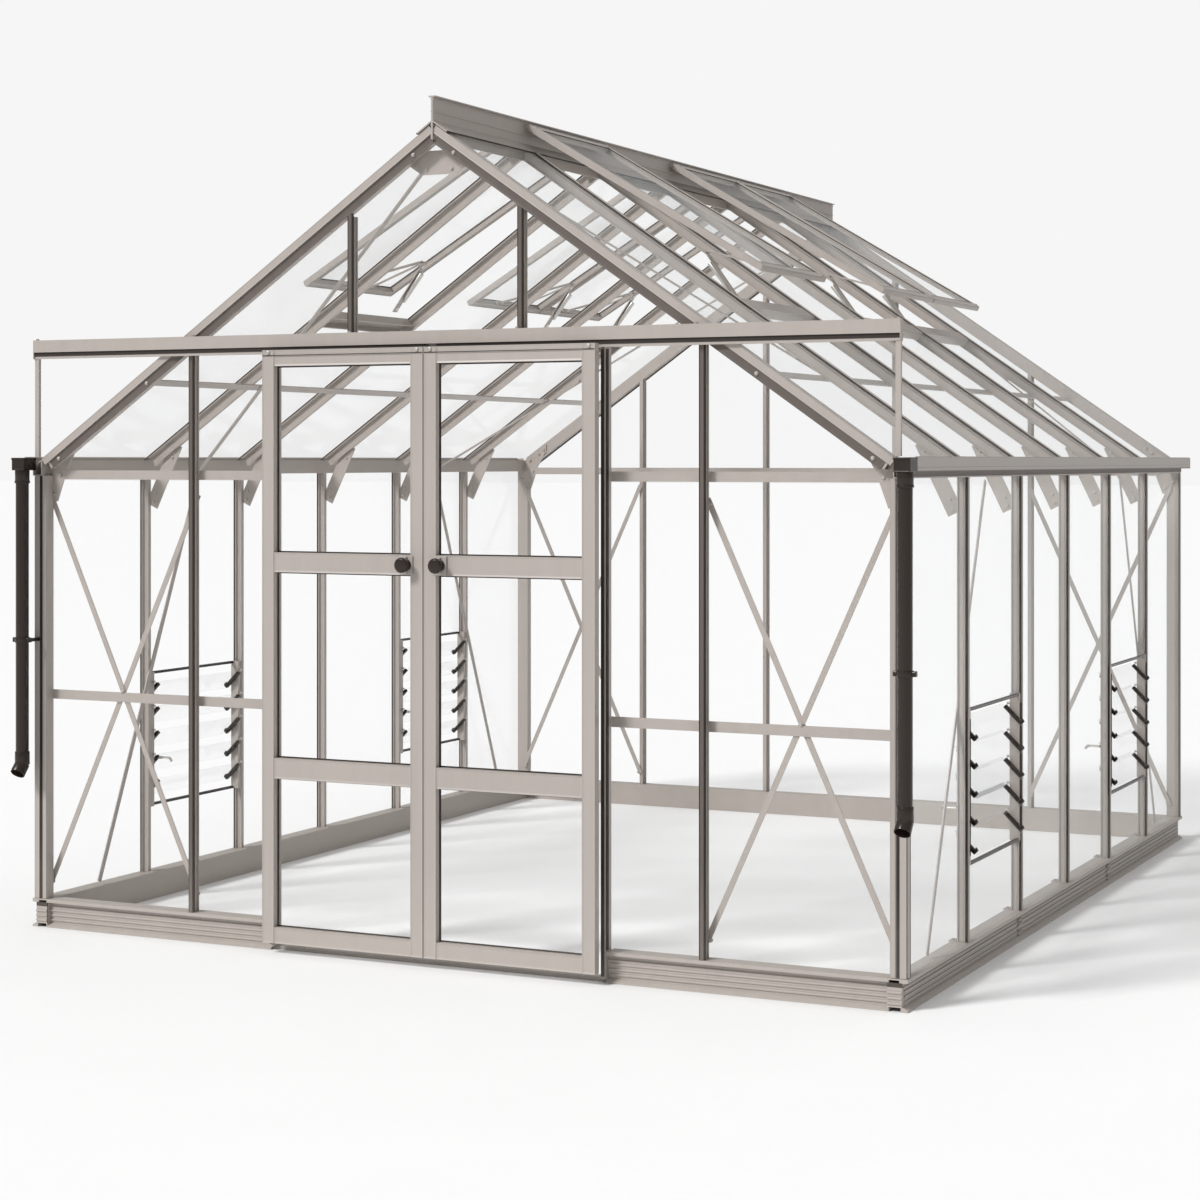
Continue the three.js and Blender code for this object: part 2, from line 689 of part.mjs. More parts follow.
add('plinth_front', frontPlinth(), paint);
add('plinth_rear', gablePlinth(1), paint);
addPair('plinth', sidePlinth(), paint);
addPair('eaves_gutter', eavesGutter(), paint);
add('ridge_beam', ridgeBeam(), paint);
add('gable_frame_front', frontGable(), paint);
add('gable_frame_rear', rearGable(), paint);
for (let number = 1; number < BAYS_LONG; number += 1) {
  addPair('glazing_rib', rib(number), paint, `_${number}`);
}
addPair('wall_glass', wallGlass(), clear);
addPair('roof_glass', roofGlass(), clear);
add('gable_glass_front', gableGlass(true), clear);
add('gable_glass_rear', gableGlass(false), clear);
add('door_track', doorFrame(), paint);
addPair('door_leaf', doorLeaf(), paint);
addPair('door_glass', doorGlass(), clear);
addPair('door_knob', doorKnob(), black);
for (const bay of VENT_BAYS) {
  addPair('roof_vent', ventSash(bay), paint, `_${bay}`);
}
for (const bay of LOUVRE_BAYS) {
  for (let row = 1; row <= BLADES; row += 1) {
    addPair('louvre_blade', louvreBlade(bay, row), clear, `_${bay}_${row}`);
  }
}
addPair('downpipe', downpipe(), black);

// The footprint is centred on the origin.
const bounds = new THREE.Box3().setFromObject(greenhouse);
greenhouse.position.y = -(bounds.min.y + bounds.max.y) / 2;

export default greenhouse;
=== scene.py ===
"""Looks of the aluminium greenhouse: trims, seals, doors, vents, louvres, pipes and bolts.

Metres, +Z up. The doors face -Y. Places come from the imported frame.
"""

import json
import math

import bmesh
import bpy
from mathutils import Matrix, Vector


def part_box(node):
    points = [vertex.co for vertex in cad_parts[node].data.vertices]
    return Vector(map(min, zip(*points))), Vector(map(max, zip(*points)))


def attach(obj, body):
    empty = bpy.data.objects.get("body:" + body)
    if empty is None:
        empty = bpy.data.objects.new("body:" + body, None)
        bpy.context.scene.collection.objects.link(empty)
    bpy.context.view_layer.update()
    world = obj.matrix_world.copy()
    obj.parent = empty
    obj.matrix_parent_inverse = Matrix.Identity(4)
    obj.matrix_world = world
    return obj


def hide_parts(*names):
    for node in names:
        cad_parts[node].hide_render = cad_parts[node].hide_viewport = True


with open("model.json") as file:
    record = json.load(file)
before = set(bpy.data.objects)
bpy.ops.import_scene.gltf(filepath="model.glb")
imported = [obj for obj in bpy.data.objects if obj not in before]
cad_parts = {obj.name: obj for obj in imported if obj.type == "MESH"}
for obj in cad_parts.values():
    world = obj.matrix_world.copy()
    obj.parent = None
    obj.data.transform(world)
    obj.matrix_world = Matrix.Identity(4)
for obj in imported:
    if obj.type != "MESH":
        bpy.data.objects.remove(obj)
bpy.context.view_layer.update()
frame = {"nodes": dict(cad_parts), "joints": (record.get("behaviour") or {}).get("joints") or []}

# ---- Places that come from the frame ----

HOUSE = "greenhouse_frame"
JOINTS = {joint["name"]: joint for joint in frame["joints"]}

BAY = 0.610
PITCH = math.radians(34.8)
EAVES_Z = 1.582                  # height of the roof surface above the wall face
VENT_BAYS = (2, 4, 5)
LOUVRE_BAYS = (2, 5)
BLADES = 5

WALL_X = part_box("gable_frame_front")[1].x
FRONT_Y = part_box("gable_frame_front")[0].y
REAR_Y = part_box("gable_frame_rear")[1].y
MIDDLE_Y = (FRONT_Y + REAR_Y) / 2
CILL_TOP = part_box("plinth_right")[1].z
DOORWAY_HALF = 0.600
DOOR_HEAD = 1.998                # top of the door track
PLINTH_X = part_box("plinth_right")[1].x
BEAM_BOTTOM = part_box("eaves_gutter_right")[0].z
GUTTER_LIP_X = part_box("eaves_gutter_right")[1].x
TRACK_END_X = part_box("door_track")[1].x
FRAME_DEPTH = 0.036              # wall face to the inner side of the bars
RAFTER_DEPTH = 0.0543            # roof surface to the underside of a gable rafter
GUSSET = 0.004                   # thickness of the plates behind the gable corners
RIDGE_WING = 0.066               # down the slope from the apex to the edge of the ridge
MIDDLE_BAR_Z = 0.791             # height of the tie half-way up the front gable

SLOPE = Vector((math.cos(PITCH), 0, -math.sin(PITCH)))
ROOF_OUT = Vector((math.sin(PITCH), 0, math.cos(PITCH)))
APEX_Z = EAVES_Z + WALL_X * math.tan(PITCH)
EAVES_DOWN = WALL_X / math.cos(PITCH)


def bar_y(number):
    """The line of a glazing bar. Bar 0 is the front gable and bar 6 the rear one."""
    return MIDDLE_Y + (number - 3) * BAY


def on_roof(down, above, y):
    """A point on the right-hand slope, by distance down from the apex and height above it."""
    return Vector((0, y, APEX_Z)) + SLOPE * down + ROOF_OUT * above


# ---- Node groups and materials ----

DUST_COLOUR = (0.62, 0.57, 0.50)
PAINT_COLOUR = (0.385, 0.345, 0.315)
SEAL_AND_SHADE_COLOUR = (0.028, 0.021, 0.017)
PLASTIC_COLOUR = (0.022, 0.014, 0.010)
BOLT_COLOUR = (0.46, 0.43, 0.40)
STEEL_COLOUR = (0.62, 0.60, 0.57)
TRIM_AND_SHADE_COLOUR = (0.105, 0.085, 0.074)
GLASS_COLOUR = (0.86, 0.93, 0.93)
FLOOR_COLOUR = (0.88, 0.88, 0.88)


def socket(group, name, kind, value=None, out=False):
    """Adds an input or output to a node group."""
    made = group.interface.new_socket(
        name=name, in_out="OUTPUT" if out else "INPUT", socket_type=kind
    )
    if value is not None:
        made.default_value = value


def linked(tree, kind, inputs=None, **settings):
    """A node with its settings, and its inputs set to values or linked from sockets."""
    node = tree.nodes.new(kind)
    for name, value in settings.items():
        setattr(node, name, value)
    for name, value in (inputs or {}).items():
        if isinstance(value, bpy.types.NodeSocket):
            tree.links.new(value, node.inputs[name])
        else:
            node.inputs[name].default_value = value
    return node


def coat_group():
    """Powder coat: a fine pebbled skin, slow changes of tone, and pale dust low down."""
    group = bpy.data.node_groups.new("Coat and weather", "ShaderNodeTree")
    socket(group, "Colour", "NodeSocketColor", (0.4, 0.36, 0.33, 1))
    socket(group, "Tone change", "NodeSocketFloat", 0.1)
    socket(group, "Dust", "NodeSocketFloat", 0.2)
    socket(group, "Roughness", "NodeSocketFloat", 0.45)
    socket(group, "Colour", "NodeSocketColor", out=True)
    socket(group, "Roughness", "NodeSocketFloat", out=True)
    socket(group, "Height", "NodeSocketFloat", out=True)
    given = group.nodes.new("NodeGroupInput").outputs
    result = group.nodes.new("NodeGroupOutput").inputs
    where = linked(group, "ShaderNodeTexCoord").outputs["Object"]
    tone = linked(group, "ShaderNodeTexNoise", {"Vector": where, "Scale": 2.3, "Detail": 4.0})
    streaks_at = linked(group, "ShaderNodeMapping", {"Vector": where, "Scale": (30, 30, 1.5)})
    streaks = linked(group, "ShaderNodeTexNoise", {
        "Vector": streaks_at.outputs["Vector"], "Scale": 1.0, "Detail": 3.0,
    })

    def maths(kind, first, second):
        return linked(group, "ShaderNodeMath", {0: first, 1: second}, operation=kind).outputs[0]

    both = maths("ADD", tone.outputs["Fac"], streaks.outputs["Fac"])
    centred = maths("ADD", both, -1.0)
    level = maths("ADD", maths("MULTIPLY", centred, given["Tone change"]), 1.0)
    shaded = linked(group, "ShaderNodeVectorMath", {
        0: given["Colour"], "Scale": level,
    }, operation="SCALE")
    height = linked(group, "ShaderNodeSeparateXYZ", {"Vector": where}).outputs["Z"]
    low = linked(group, "ShaderNodeMapRange", {
        "Value": height, "From Min": 0.0, "From Max": 0.35, "To Min": 1.0, "To Max": 0.0,
    })
    patch = linked(group, "ShaderNodeTexNoise", {"Vector": where, "Scale": 14.0, "Detail": 6.0})
    settled = maths("MULTIPLY", low.outputs["Result"], patch.outputs["Fac"])
    dusty = maths("MULTIPLY", settled, given["Dust"])
    mixed = linked(group, "ShaderNodeMix", {
        "Factor": dusty, "A": shaded.outputs["Vector"], "B": (*DUST_COLOUR, 1),
    }, data_type="RGBA")
    group.links.new(mixed.outputs["Result"], result["Colour"])
    rough = maths("ADD", maths("ADD", dusty, given["Roughness"]), maths("MULTIPLY", centred, 0.12))
    group.links.new(rough, result["Roughness"])
    skin = linked(group, "ShaderNodeTexNoise", {"Vector": where, "Scale": 700.0, "Detail": 1.0})
    group.links.new(skin.outputs["Fac"], result["Height"])
    return group


COAT = coat_group()


def coated(
    name, colour, roughness, tone=0.1, dust=0.2, bump=0.05, metallic=0.0, coat=0.0, shine=0.5,
):
    """A material with the coat-and-weather pattern under a Principled shader."""
    material = bpy.data.materials.new(name)
    material.use_nodes = True
    tree = material.node_tree
    shader = tree.nodes["Principled BSDF"]
    pattern = linked(tree, "ShaderNodeGroup", node_tree=COAT)
    pattern.inputs["Colour"].default_value = (*colour, 1)
    pattern.inputs["Tone change"].default_value = tone
    pattern.inputs["Dust"].default_value = dust
    pattern.inputs["Roughness"].default_value = roughness
    relief = linked(tree, "ShaderNodeBump", {
        "Height": pattern.outputs["Height"], "Strength": bump, "Distance": 0.0004,
    })
    tree.links.new(pattern.outputs["Colour"], shader.inputs["Base Color"])
    tree.links.new(pattern.outputs["Roughness"], shader.inputs["Roughness"])
    tree.links.new(relief.outputs["Normal"], shader.inputs["Normal"])
    shader.inputs["Metallic"].default_value = metallic
    shader.inputs["Coat Weight"].default_value = coat
    shader.inputs["Coat Roughness"].default_value = 0.2
    shader.inputs["Specular IOR Level"].default_value = shine
    return material


def glass_material():
    """Thin clear glass: almost nothing face on, a painted pale sheen set by the viewing angle, and rain
    marks at a low angle.
    """
    material = bpy.data.materials.new("Clear glass")
    material.use_nodes = True
    tree = material.node_tree
    shader = tree.nodes["Principled BSDF"]
    where = linked(tree, "ShaderNodeTexCoord").outputs["Object"]
    marks = linked(tree, "ShaderNodeTexNoise", {"Vector": where, "Scale": 5.0, "Detail": 5.0})
    haze = linked(tree, "ShaderNodeMapRange", {
        "Value": marks.outputs["Fac"], "From Min": 0.5, "From Max": 0.9, "To Min": 0.0, "To Max": 0.015,
    })
    # Painted sheen: the Fresnel of the viewing angle makes the glass less clear and paler at a low
    # angle.
    rim = linked(tree, "ShaderNodeLayerWeight", {"Blend": 0.12})
    painted_sheen = linked(
        tree, "ShaderNodeMath", {0: rim.outputs["Fresnel"], 1: 0.16}, operation="MULTIPLY"
    )
    painted_sheen_and_marks = linked(
        tree, "ShaderNodeMath", {0: painted_sheen.outputs[0], 1: haze.outputs["Result"]}, operation="ADD"
    )
    tree.links.new(painted_sheen_and_marks.outputs[0], shader.inputs["Alpha"])
    rough = linked(tree, "ShaderNodeMapRange", {
        "Value": marks.outputs["Fac"], "To Min": 0.02, "To Max": 0.12,
    })
    tree.links.new(rough.outputs["Result"], shader.inputs["Roughness"])
    shader.inputs["Base Color"].default_value = (*GLASS_COLOUR, 1)
    shader.inputs["Transmission Weight"].default_value = 0.6
    return material


PAINT = coated("Clay powder coat", PAINT_COLOUR, 0.42, tone=0.10, dust=0.25, coat=0.15)
# Dark rubber: the real colour of the seals, and painted shade where its strips stand in the corner post
# grooves, on the jamb sides and along the track.
SEAL_AND_SHADE = coated("Dark rubber seal and painted shade", SEAL_AND_SHADE_COLOUR, 0.6, tone=0.25, dust=0.2, bump=0.15, shine=0.3)
PLASTIC = coated("Dark brown plastic", PLASTIC_COLOUR, 0.26, tone=0.2, dust=0.04, shine=0.35)
BOLT_METAL = coated("Dull bolt metal", BOLT_COLOUR, 0.4, tone=0.15, dust=0.2, metallic=0.5)
STEEL = coated("Zinc plated steel", STEEL_COLOUR, 0.34, tone=0.15, dust=0.2, metallic=0.9)
# Brown trim: the real colour of the front gable caps, and painted shade where its strips lie on the
# gable rafters and the gutter beam.
BROWN_TRIM_AND_SHADE = coated("Brown glazing trim and painted shade", TRIM_AND_SHADE_COLOUR, 0.45, tone=0.3, dust=0.3, bump=0.1)
GLASS = glass_material()

# ---- Ways to make a piece ----

FINE_EDGE = 0.0004               # radius of the edges of thin strips
THIN_EDGE = 0.0006
EDGE = 0.0008
SOFT_EDGE = 0.0012
MIRROR = Matrix.Scale(-1, 4, (1, 0, 0))


def deselect():
    """Leaves edit mode, with nothing selected."""
    if bpy.context.mode != "OBJECT":
        bpy.ops.object.mode_set(mode="OBJECT")
    bpy.ops.object.select_all(action="DESELECT")


def pick(obj):
    """Makes one object the only selected one, and the active one."""
    deselect()
    obj.select_set(True)
    bpy.context.view_layer.objects.active = obj


def settle(obj, material=None):
    """Puts the object's place into its mesh and gives it its material."""
    pick(obj)
    bpy.ops.object.transform_apply(location=True, rotation=True, scale=True)
    if material is not None:
        obj.data.materials.clear()
        obj.data.materials.append(material)
    return obj


def block(low, high, material):
    """A box between two corners, to be shaped further."""
    low, high = Vector(low), Vector(high)
    deselect()
    bpy.ops.mesh.primitive_cube_add(size=1, location=(low + high) / 2)
    obj = bpy.context.object
    obj.scale = high - low
    return settle(obj, material)


def rod(start, end, radius, material, sides=16):
    """A round bar between two points, to be shaped further."""
    start, end = Vector(start), Vector(end)
    deselect()
    bpy.ops.mesh.primitive_cylinder_add(
        vertices=sides, radius=radius, depth=(end - start).length, location=(start + end) / 2
    )
    obj = bpy.context.object
    obj.rotation_euler = (end - start).to_track_quat("Z", "Y").to_euler()
    return settle(obj, material)


def select_faces(obj, test):
    """In edit mode, selects only the faces whose centre and normal pass the test."""
    mesh = bmesh.from_edit_mesh(obj.data)
    for face in mesh.faces:
        face.select_set(False)
    for face in mesh.faces:
        if test(face.calc_center_median(), face.normal):
            face.select_set(True)
    bmesh.update_edit_mesh(obj.data)


def facing(direction):
    """A test for faces that look in a direction."""
    towards = Vector(direction).normalized()
    return lambda centre, normal: normal.dot(towards) > 0.95


def inset(obj, test, width, depth):
    """Insets the faces that pass the test, and sinks or raises what is inside."""
    pick(obj)
    bpy.ops.object.mode_set(mode="EDIT")
    select_faces(obj, test)
    bpy.ops.mesh.inset(thickness=width, depth=depth, use_even_offset=True)
    bpy.ops.object.mode_set(mode="OBJECT")
    return obj


def push_out(obj, test, move, grow=1.0):
    """Extrudes the faces that pass the test, and scales the new end about its middle."""
    pick(obj)
    bpy.ops.object.mode_set(mode="EDIT")
    select_faces(obj, test)
    bpy.ops.mesh.extrude_region_move(TRANSFORM_OT_translate={"value": move})
    if grow != 1.0:
        bpy.ops.transform.resize(value=(grow, grow, grow))
    bpy.ops.object.mode_set(mode="OBJECT")
    return obj


def push_end(obj, direction, move, grow=1.0):
    """Extrudes only the face that is farthest along a direction."""
    towards = Vector(direction)
    farthest = max(towards.dot(polygon.center) for polygon in obj.data.polygons)
    return push_out(obj, lambda centre, normal: towards.dot(centre) > farthest - 1e-5, move, grow)


def soften(obj, width, segments=2):
    """Rounds the sharp edges, as paint or moulding does."""
    pick(obj)
    bpy.ops.object.modifier_add(type="BEVEL")
    modifier = obj.modifiers[-1]
    modifier.width = width
    modifier.segments = segments
    modifier.limit_method = "ANGLE"
    modifier.angle_limit = math.radians(40)
    bpy.ops.object.modifier_apply(modifier=modifier.name)
    return obj


def smooth(obj):
    """Shades round surfaces smooth and leaves corners sharp."""
    pick(obj)
    bpy.ops.object.shade_smooth_by_angle(angle=math.radians(35))
    return obj


def joined(objects):
    """Several pieces as one object, each with its materials."""
    objects = list(objects)
    pick(objects[0])
    for obj in objects:
        obj.select_set(True)
    if len(objects) > 1:
        bpy.ops.object.join()
    return bpy.context.object


def turned(obj, matrix):
    """Moves and turns a piece, with its place kept in its mesh."""
    obj.matrix_world = matrix
    return settle(obj)


def copy_of(obj, matrix=None):
    """A copy with a mesh of its own, moved by a matrix. A mirrored copy is turned right side out."""
    twin = obj.copy()
    twin.data = obj.data.copy()
    bpy.context.scene.collection.objects.link(twin)
    if matrix is None:
        return twin
    twin.matrix_world = matrix
    settle(twin)
    if matrix.determinant() < 0:
        bpy.ops.object.mode_set(mode="EDIT")
        bpy.ops.mesh.select_all(action="SELECT")
        bpy.ops.mesh.normals_make_consistent(inside=False)
        bpy.ops.object.mode_set(mode="OBJECT")
    return twin


def fit(obj, name, body, instead_of=()):
    """Names a finished piece and fixes it to a CAD body."""
    obj.name = name
    obj.data.name = name
    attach(obj, body)
    if instead_of:
        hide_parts(*instead_of)


def fit_pair(obj, name, body, instead_of=()):
    """Fits a right-hand piece and its mirror image. Names hold {} where the side goes."""
    twin = copy_of(obj, MIRROR)
    for piece, side in ((obj, "right"), (twin, "left")):
        nodes = [node.format(side) for node in instead_of]
        fit(piece, name.format(side), body.format(side), nodes)


def along(start, end, outward):
    """A matrix whose z runs from start to end and whose y faces outward."""
    start, end, outward = Vector(start), Vector(end), Vector(outward)
    z = (end - start).normalized()
    y = (outward - z * outward.dot(z)).normalized()
    x = y.cross(z)
    matrix = Matrix((x, y, z)).transposed().to_4x4()
    matrix.translation = start
    return matrix


def border(low, high, width):
    """Four strips just inside the edge of a rectangle, each as its low and high corner."""
    (u0, v0), (u1, v1) = low, high
    return (
        ((u0, v0), (u0 + width, v1)), ((u1 - width, v0), (u1, v1)),
        ((u0, v0), (u1, v0 + width)), ((u0, v1 - width), (u1, v1)),
    )


# ---- Fasteners ----

WASHER = 0.0012
HEAD_TOP = 0.0050


def make_bolt():
    """A hex head on a round washer, standing on z = 0 and pointing to +Z."""
    washer = soften(rod((0, 0, 0), (0, 0, WASHER), 0.0070, BOLT_METAL, 16), 0.0003, 1)
    head = rod((0, 0, WASHER), (0, 0, HEAD_TOP), 0.0052, BOLT_METAL, 6)
    inset(head, facing((0, 0, 1)), 0.0010, 0.0005)
    return joined([washer, head])


BOLT = make_bolt()


def bolt_at(place, direction):
    """A bolt whose washer sits at a place, with its head pointing in a direction."""
    turn = Vector(direction).to_track_quat("Z", "Y").to_matrix().to_4x4()
    return copy_of(BOLT, Matrix.Translation(Vector(place)) @ turn)


# ---- Glazing bar caps and seals ----

CAP_HALF = 0.0065
SEAL_HALF = 0.0110
SEAL_TOP = -0.0015               # below the face of the bar
GLASS_FACE = -0.0049
# Strips along a corner post: middle, from the corner inwards, width, thickness and material
CORNER_STRIPS = (
    (0.010, 0.020, 0.0030, PAINT),
    # the dark middle strip is partly rubber seal and partly painted shade of the groove
    (0.026, 0.010, 0.0012, SEAL_AND_SHADE),
    (0.041, 0.014, 0.0024, PAINT),
)


def glazing_trim(start, end, outward, finish=PAINT):
    """A raised cap with a rubber seal along each side, over a glazing bar."""
    length = (Vector(end) - Vector(start)).length
    cap = block((-CAP_HALF, GLASS_FACE, 0), (CAP_HALF, 0.0005, length), finish)
    inset(cap, facing((0, 1, 0)), 0.0022, 0.0012)
    soften(cap, 0.0005, 1)
    seals = []
    for side in (-1, 1):
        low, high = sorted((side * (CAP_HALF + 0.0002), side * SEAL_HALF))
        seal = block((low, GLASS_FACE, 0.001), (high, SEAL_TOP, length - 0.001), SEAL_AND_SHADE)
        seals.append(soften(seal, EDGE, 1))
    return turned(joined([cap, *seals]), along(start, end, outward))


def wall_trims():
    """The caps of the side walls and the roof slopes."""
    trims = []
    for number in range(1, 6):
        y = bar_y(number)
        wall = ((WALL_X, y, CILL_TOP), (WALL_X, y, BEAM_BOTTOM))
        trims.append(glazing_trim(*wall, (1, 0, 0)))
        roof = (on_roof(RIDGE_WING + 0.002, 0, y), on_roof(EAVES_DOWN - 0.004, 0, y))
        trims.append(glazing_trim(*roof, ROOF_OUT))
    fit_pair(joined(trims), "glazing_trims_{}", HOUSE)


def rafter_under(x):
    """Underside of a gable rafter, above a point x from the middle."""
    return APEX_Z - x * math.tan(PITCH) - RAFTER_DEPTH / math.cos(PITCH)


def gable_trims():
    """The caps of the gables. Those of the front are dark brown."""
    front = []
    for x, foot in ((1.5 * BAY, CILL_TOP), (0.5 * BAY, DOOR_HEAD)):
        top = rafter_under(x) - 0.003
        front.append(glazing_trim((x, FRONT_Y, foot), (x, FRONT_Y, top), (0, -1, 0), BROWN_TRIM_AND_SHADE))
    fit_pair(joined(front), "front_gable_trims_{}", HOUSE)
    rear = []
    for x in (1.5 * BAY, 0.5 * BAY):
        top = rafter_under(x) - 0.003
        rear.append(glazing_trim((x, REAR_Y, CILL_TOP), (x, REAR_Y, top), (0, 1, 0)))
    fit_pair(joined(rear), "rear_gable_trims_{}", HOUSE)


def rafter_edges():
    """A raised flange along the top of each gable rafter, over a dark strip that is partly glazing seal
    and partly painted shade of the rafter's lower band.
    """
    for label, y, outward in (("front", FRONT_Y, (0, -1, 0)), ("rear", REAR_Y, (0, 1, 0))):
        start = on_roof(0.02, -0.020, y)
        end = on_roof(EAVES_DOWN - 0.034, -0.020, y)
        matrix = along(start, end, outward)
        length = (end - start).length
        # +1 where the strip's own x points out of the roof, -1 where it points in
        up = ROOF_OUT.dot(matrix.to_3x3() @ Vector((1, 0, 0)))
        flange = block((-0.0125, 0, 0), (0.0125, 0.008, length), PAINT)
        inset(flange, facing((0, 1, 0)), 0.004, -0.0015)
        soften(flange, THIN_EDGE, 1)
        # Painted shade: the dark strip below the flange is partly a glazing seal and partly stands for
        # the shade on the lower band of the rafter.
        low, high = sorted((-up * 0.0128, -up * 0.0400))
        seal = block((low, 0, 0.02), (high, 0.0025, length - 0.02), BROWN_TRIM_AND_SHADE)
        inset(seal, facing((0, 1, 0)), 0.007, -0.0010)
        soften(seal, THIN_EDGE, 1)
        edge = turned(joined([flange, seal]), matrix)
        fit_pair(edge, "rafter_edge_" + label + "_{}", HOUSE)


def post_strip(x, y, margin, material):
    """One strip up the whole height of a corner post. Each of x and y is a range."""
    low = (x[0], y[0], CILL_TOP + 0.001)
    strip = block(low, (x[1], y[1], BEAM_BOTTOM - 0.001), material)
    outward = (1, 0, 0) if x[1] > WALL_X else (0, math.copysign(1, y[0] + y[1]), 0)
    inset(strip, facing(outward), margin, -0.0006)
    return soften(strip, FINE_EDGE, 1)


def corner_edges():
    """Caps and a dark strip along each corner post, on both of its outer faces. The strip is partly a
    rubber seal and partly painted shade of the groove.
    """
    edges = []
    for y, sign in ((FRONT_Y, -1), (REAR_Y, 1)):
        for inwards, width, thickness, material in CORNER_STRIPS:
            x = WALL_X - inwards
            across = (x - width / 2, x + width / 2)
            proud = sorted((y, y + sign * thickness))
            edges.append(post_strip(across, proud, width / 5, material))
        side_y = y - sign * 0.014
        groove_y = y - sign * 0.031
        cap_x = (WALL_X, WALL_X + 0.003)
        groove_x = (WALL_X, WALL_X + 0.0012)
        edges.append(post_strip(cap_x, (side_y - 0.010, side_y + 0.010), 0.004, PAINT))
        # The dark strip in the groove is partly rubber seal and partly painted shade.
        edges.append(post_strip(groove_x, (groove_y - 0.005, groove_y + 0.005), 0.002, SEAL_AND_SHADE))
    fit_pair(joined(edges), "corner_post_edges_{}", HOUSE)


# ---- Plinth ----

RIB_HEIGHTS = (0.024, 0.040, 0.056)
RIB_PROUD = 0.004
FLANGE = 0.018                   # from the plinth's foot to its ribbed face
CORNER_PLATE = 0.0440            # width of the plate at the end of each side
CORNER_BANDS = ((0.0125, 0.0705, PAINT), (0.0710, 0.0835, SEAL_AND_SHADE))      # the plate and its groove


def rib_strip(start, end, outward):
    """One rolled rib along a plinth face."""
    length = (Vector(end) - Vector(start)).length
    rib = block((-0.0035, 0, 0), (0.0035, RIB_PROUD, length), PAINT)
    soften(rib, 0.0025, 3)
    return turned(rib, along(start, end, outward))


def plinth_details():
    """Ribs, joint plates and corner plates on the outer faces of the plinth."""
    face_x = PLINTH_X - FLANGE
    edge = PLINTH_X - WALL_X
    front_face = FRONT_Y - edge + FLANGE
    rear_face = REAR_Y + edge - FLANGE
    sides = []
    for z in RIB_HEIGHTS:
        sides.append(rib_strip((face_x, front_face, z), (face_x, rear_face, z), (1, 0, 0)))
    for number in (2, 4):
        y = bar_y(number)
        plate_high = (face_x + RIB_PROUD + 0.002, y + 0.020, 0.068)
        plate = block((face_x, y - 0.020, 0.015), plate_high, PAINT)
        inset(plate, facing((1, 0, 0)), 0.004, -0.001)
        sides.append(soften(plate, THIN_EDGE, 1))
        for offset in (-0.010, 0.010):
            for z in (0.030, 0.054):
                sides.append(bolt_at((face_x + RIB_PROUD + 0.0012, y + offset, z), (1, 0, 0)))
    fit_pair(joined(sides), "plinth_ribs_{}", HOUSE)
    ends = []
    side_low, side_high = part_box("plinth_right")
    for end_y, outward in ((side_low.y, -1), (side_high.y, 1)):
        y0, y1 = sorted((end_y - outward * 0.004, end_y + outward * 0.0015))
        for z0, z1, finish in CORNER_BANDS:
            plate = block((face_x - CORNER_PLATE, y0, z0), (face_x + 0.0005, y1, z1), finish)
            inset(plate, facing((0, outward, 0)), 0.002, -0.0006)
            ends.append(soften(plate, EDGE, 2))
        for z in RIB_HEIGHTS:
            rib_y = end_y + outward * 0.0012
            start = (face_x - CORNER_PLATE, rib_y, z)
            ends.append(rib_strip(start, (face_x + 0.0005, rib_y, z), (0, outward, 0)))
    for z in RIB_HEIGHTS:
        doorway = (DOORWAY_HALF + 0.004, front_face, z)
        ends.append(rib_strip(doorway, (face_x, front_face, z), (0, -1, 0)))
        ends.append(rib_strip((0, rear_face, z), (face_x, rear_face, z), (0, 1, 0)))
    fit_pair(joined(ends), "plinth_end_ribs_{}", HOUSE)


# ---- Gable and rib fasteners ----


def gable_bolts():
    """Bolts through the corner and apex gussets, the ties and the ends of the cross braces."""
    bolts = []
    corner = WALL_X - FRAME_DEPTH
    bar = 1.5 * BAY
    gussets = [
        (corner + 0.012, 1.50), (corner - 0.018, 1.475), (corner - 0.030, 1.590),
        (corner - 0.075, 1.620), (corner - 0.100, 1.640), (corner - 0.045, 1.540),
        (bar, 1.540), (0.085, 2.520), (0.045, 2.510),
    ]
    braces = [
        (bar + 0.012, 0.150), (corner - 0.010, 0.150), (bar + 0.012, 1.460),
        ((bar + WALL_X - 0.035) / 2, 0.810),
    ]
    middle_bar = [(corner + 0.010, MIDDLE_BAR_Z), (bar, MIDDLE_BAR_Z)]
    both = gussets + braces
    for y, inward, places in ((FRONT_Y, 1, both + middle_bar), (REAR_Y, -1, both)):
        inner_y = y + inward * FRAME_DEPTH
        for x, z in places:
            bolts.append(bolt_at((x, inner_y, z), (0, -inward, 0)))
            plate_y = inner_y + inward * (GUSSET + 0.0002)
            bolts.append(bolt_at((x, plate_y, z), (0, inward, 0)))
    for down in (0.12, 1.36, 1.80):
        bolts.append(bolt_at(on_roof(down, -0.046, FRONT_Y - 0.0018), (0, -1, 0)))
        bolts.append(bolt_at(on_roof(down, -0.046, REAR_Y + 0.0018), (0, 1, 0)))
    fit_pair(joined(bolts), "gable_bolts_{}", HOUSE)


KNEE_BOLTS = ((WALL_X - 0.052, 1.440), (WALL_X - 0.060, 1.470), (1.408, 1.622), (1.420, 1.600))


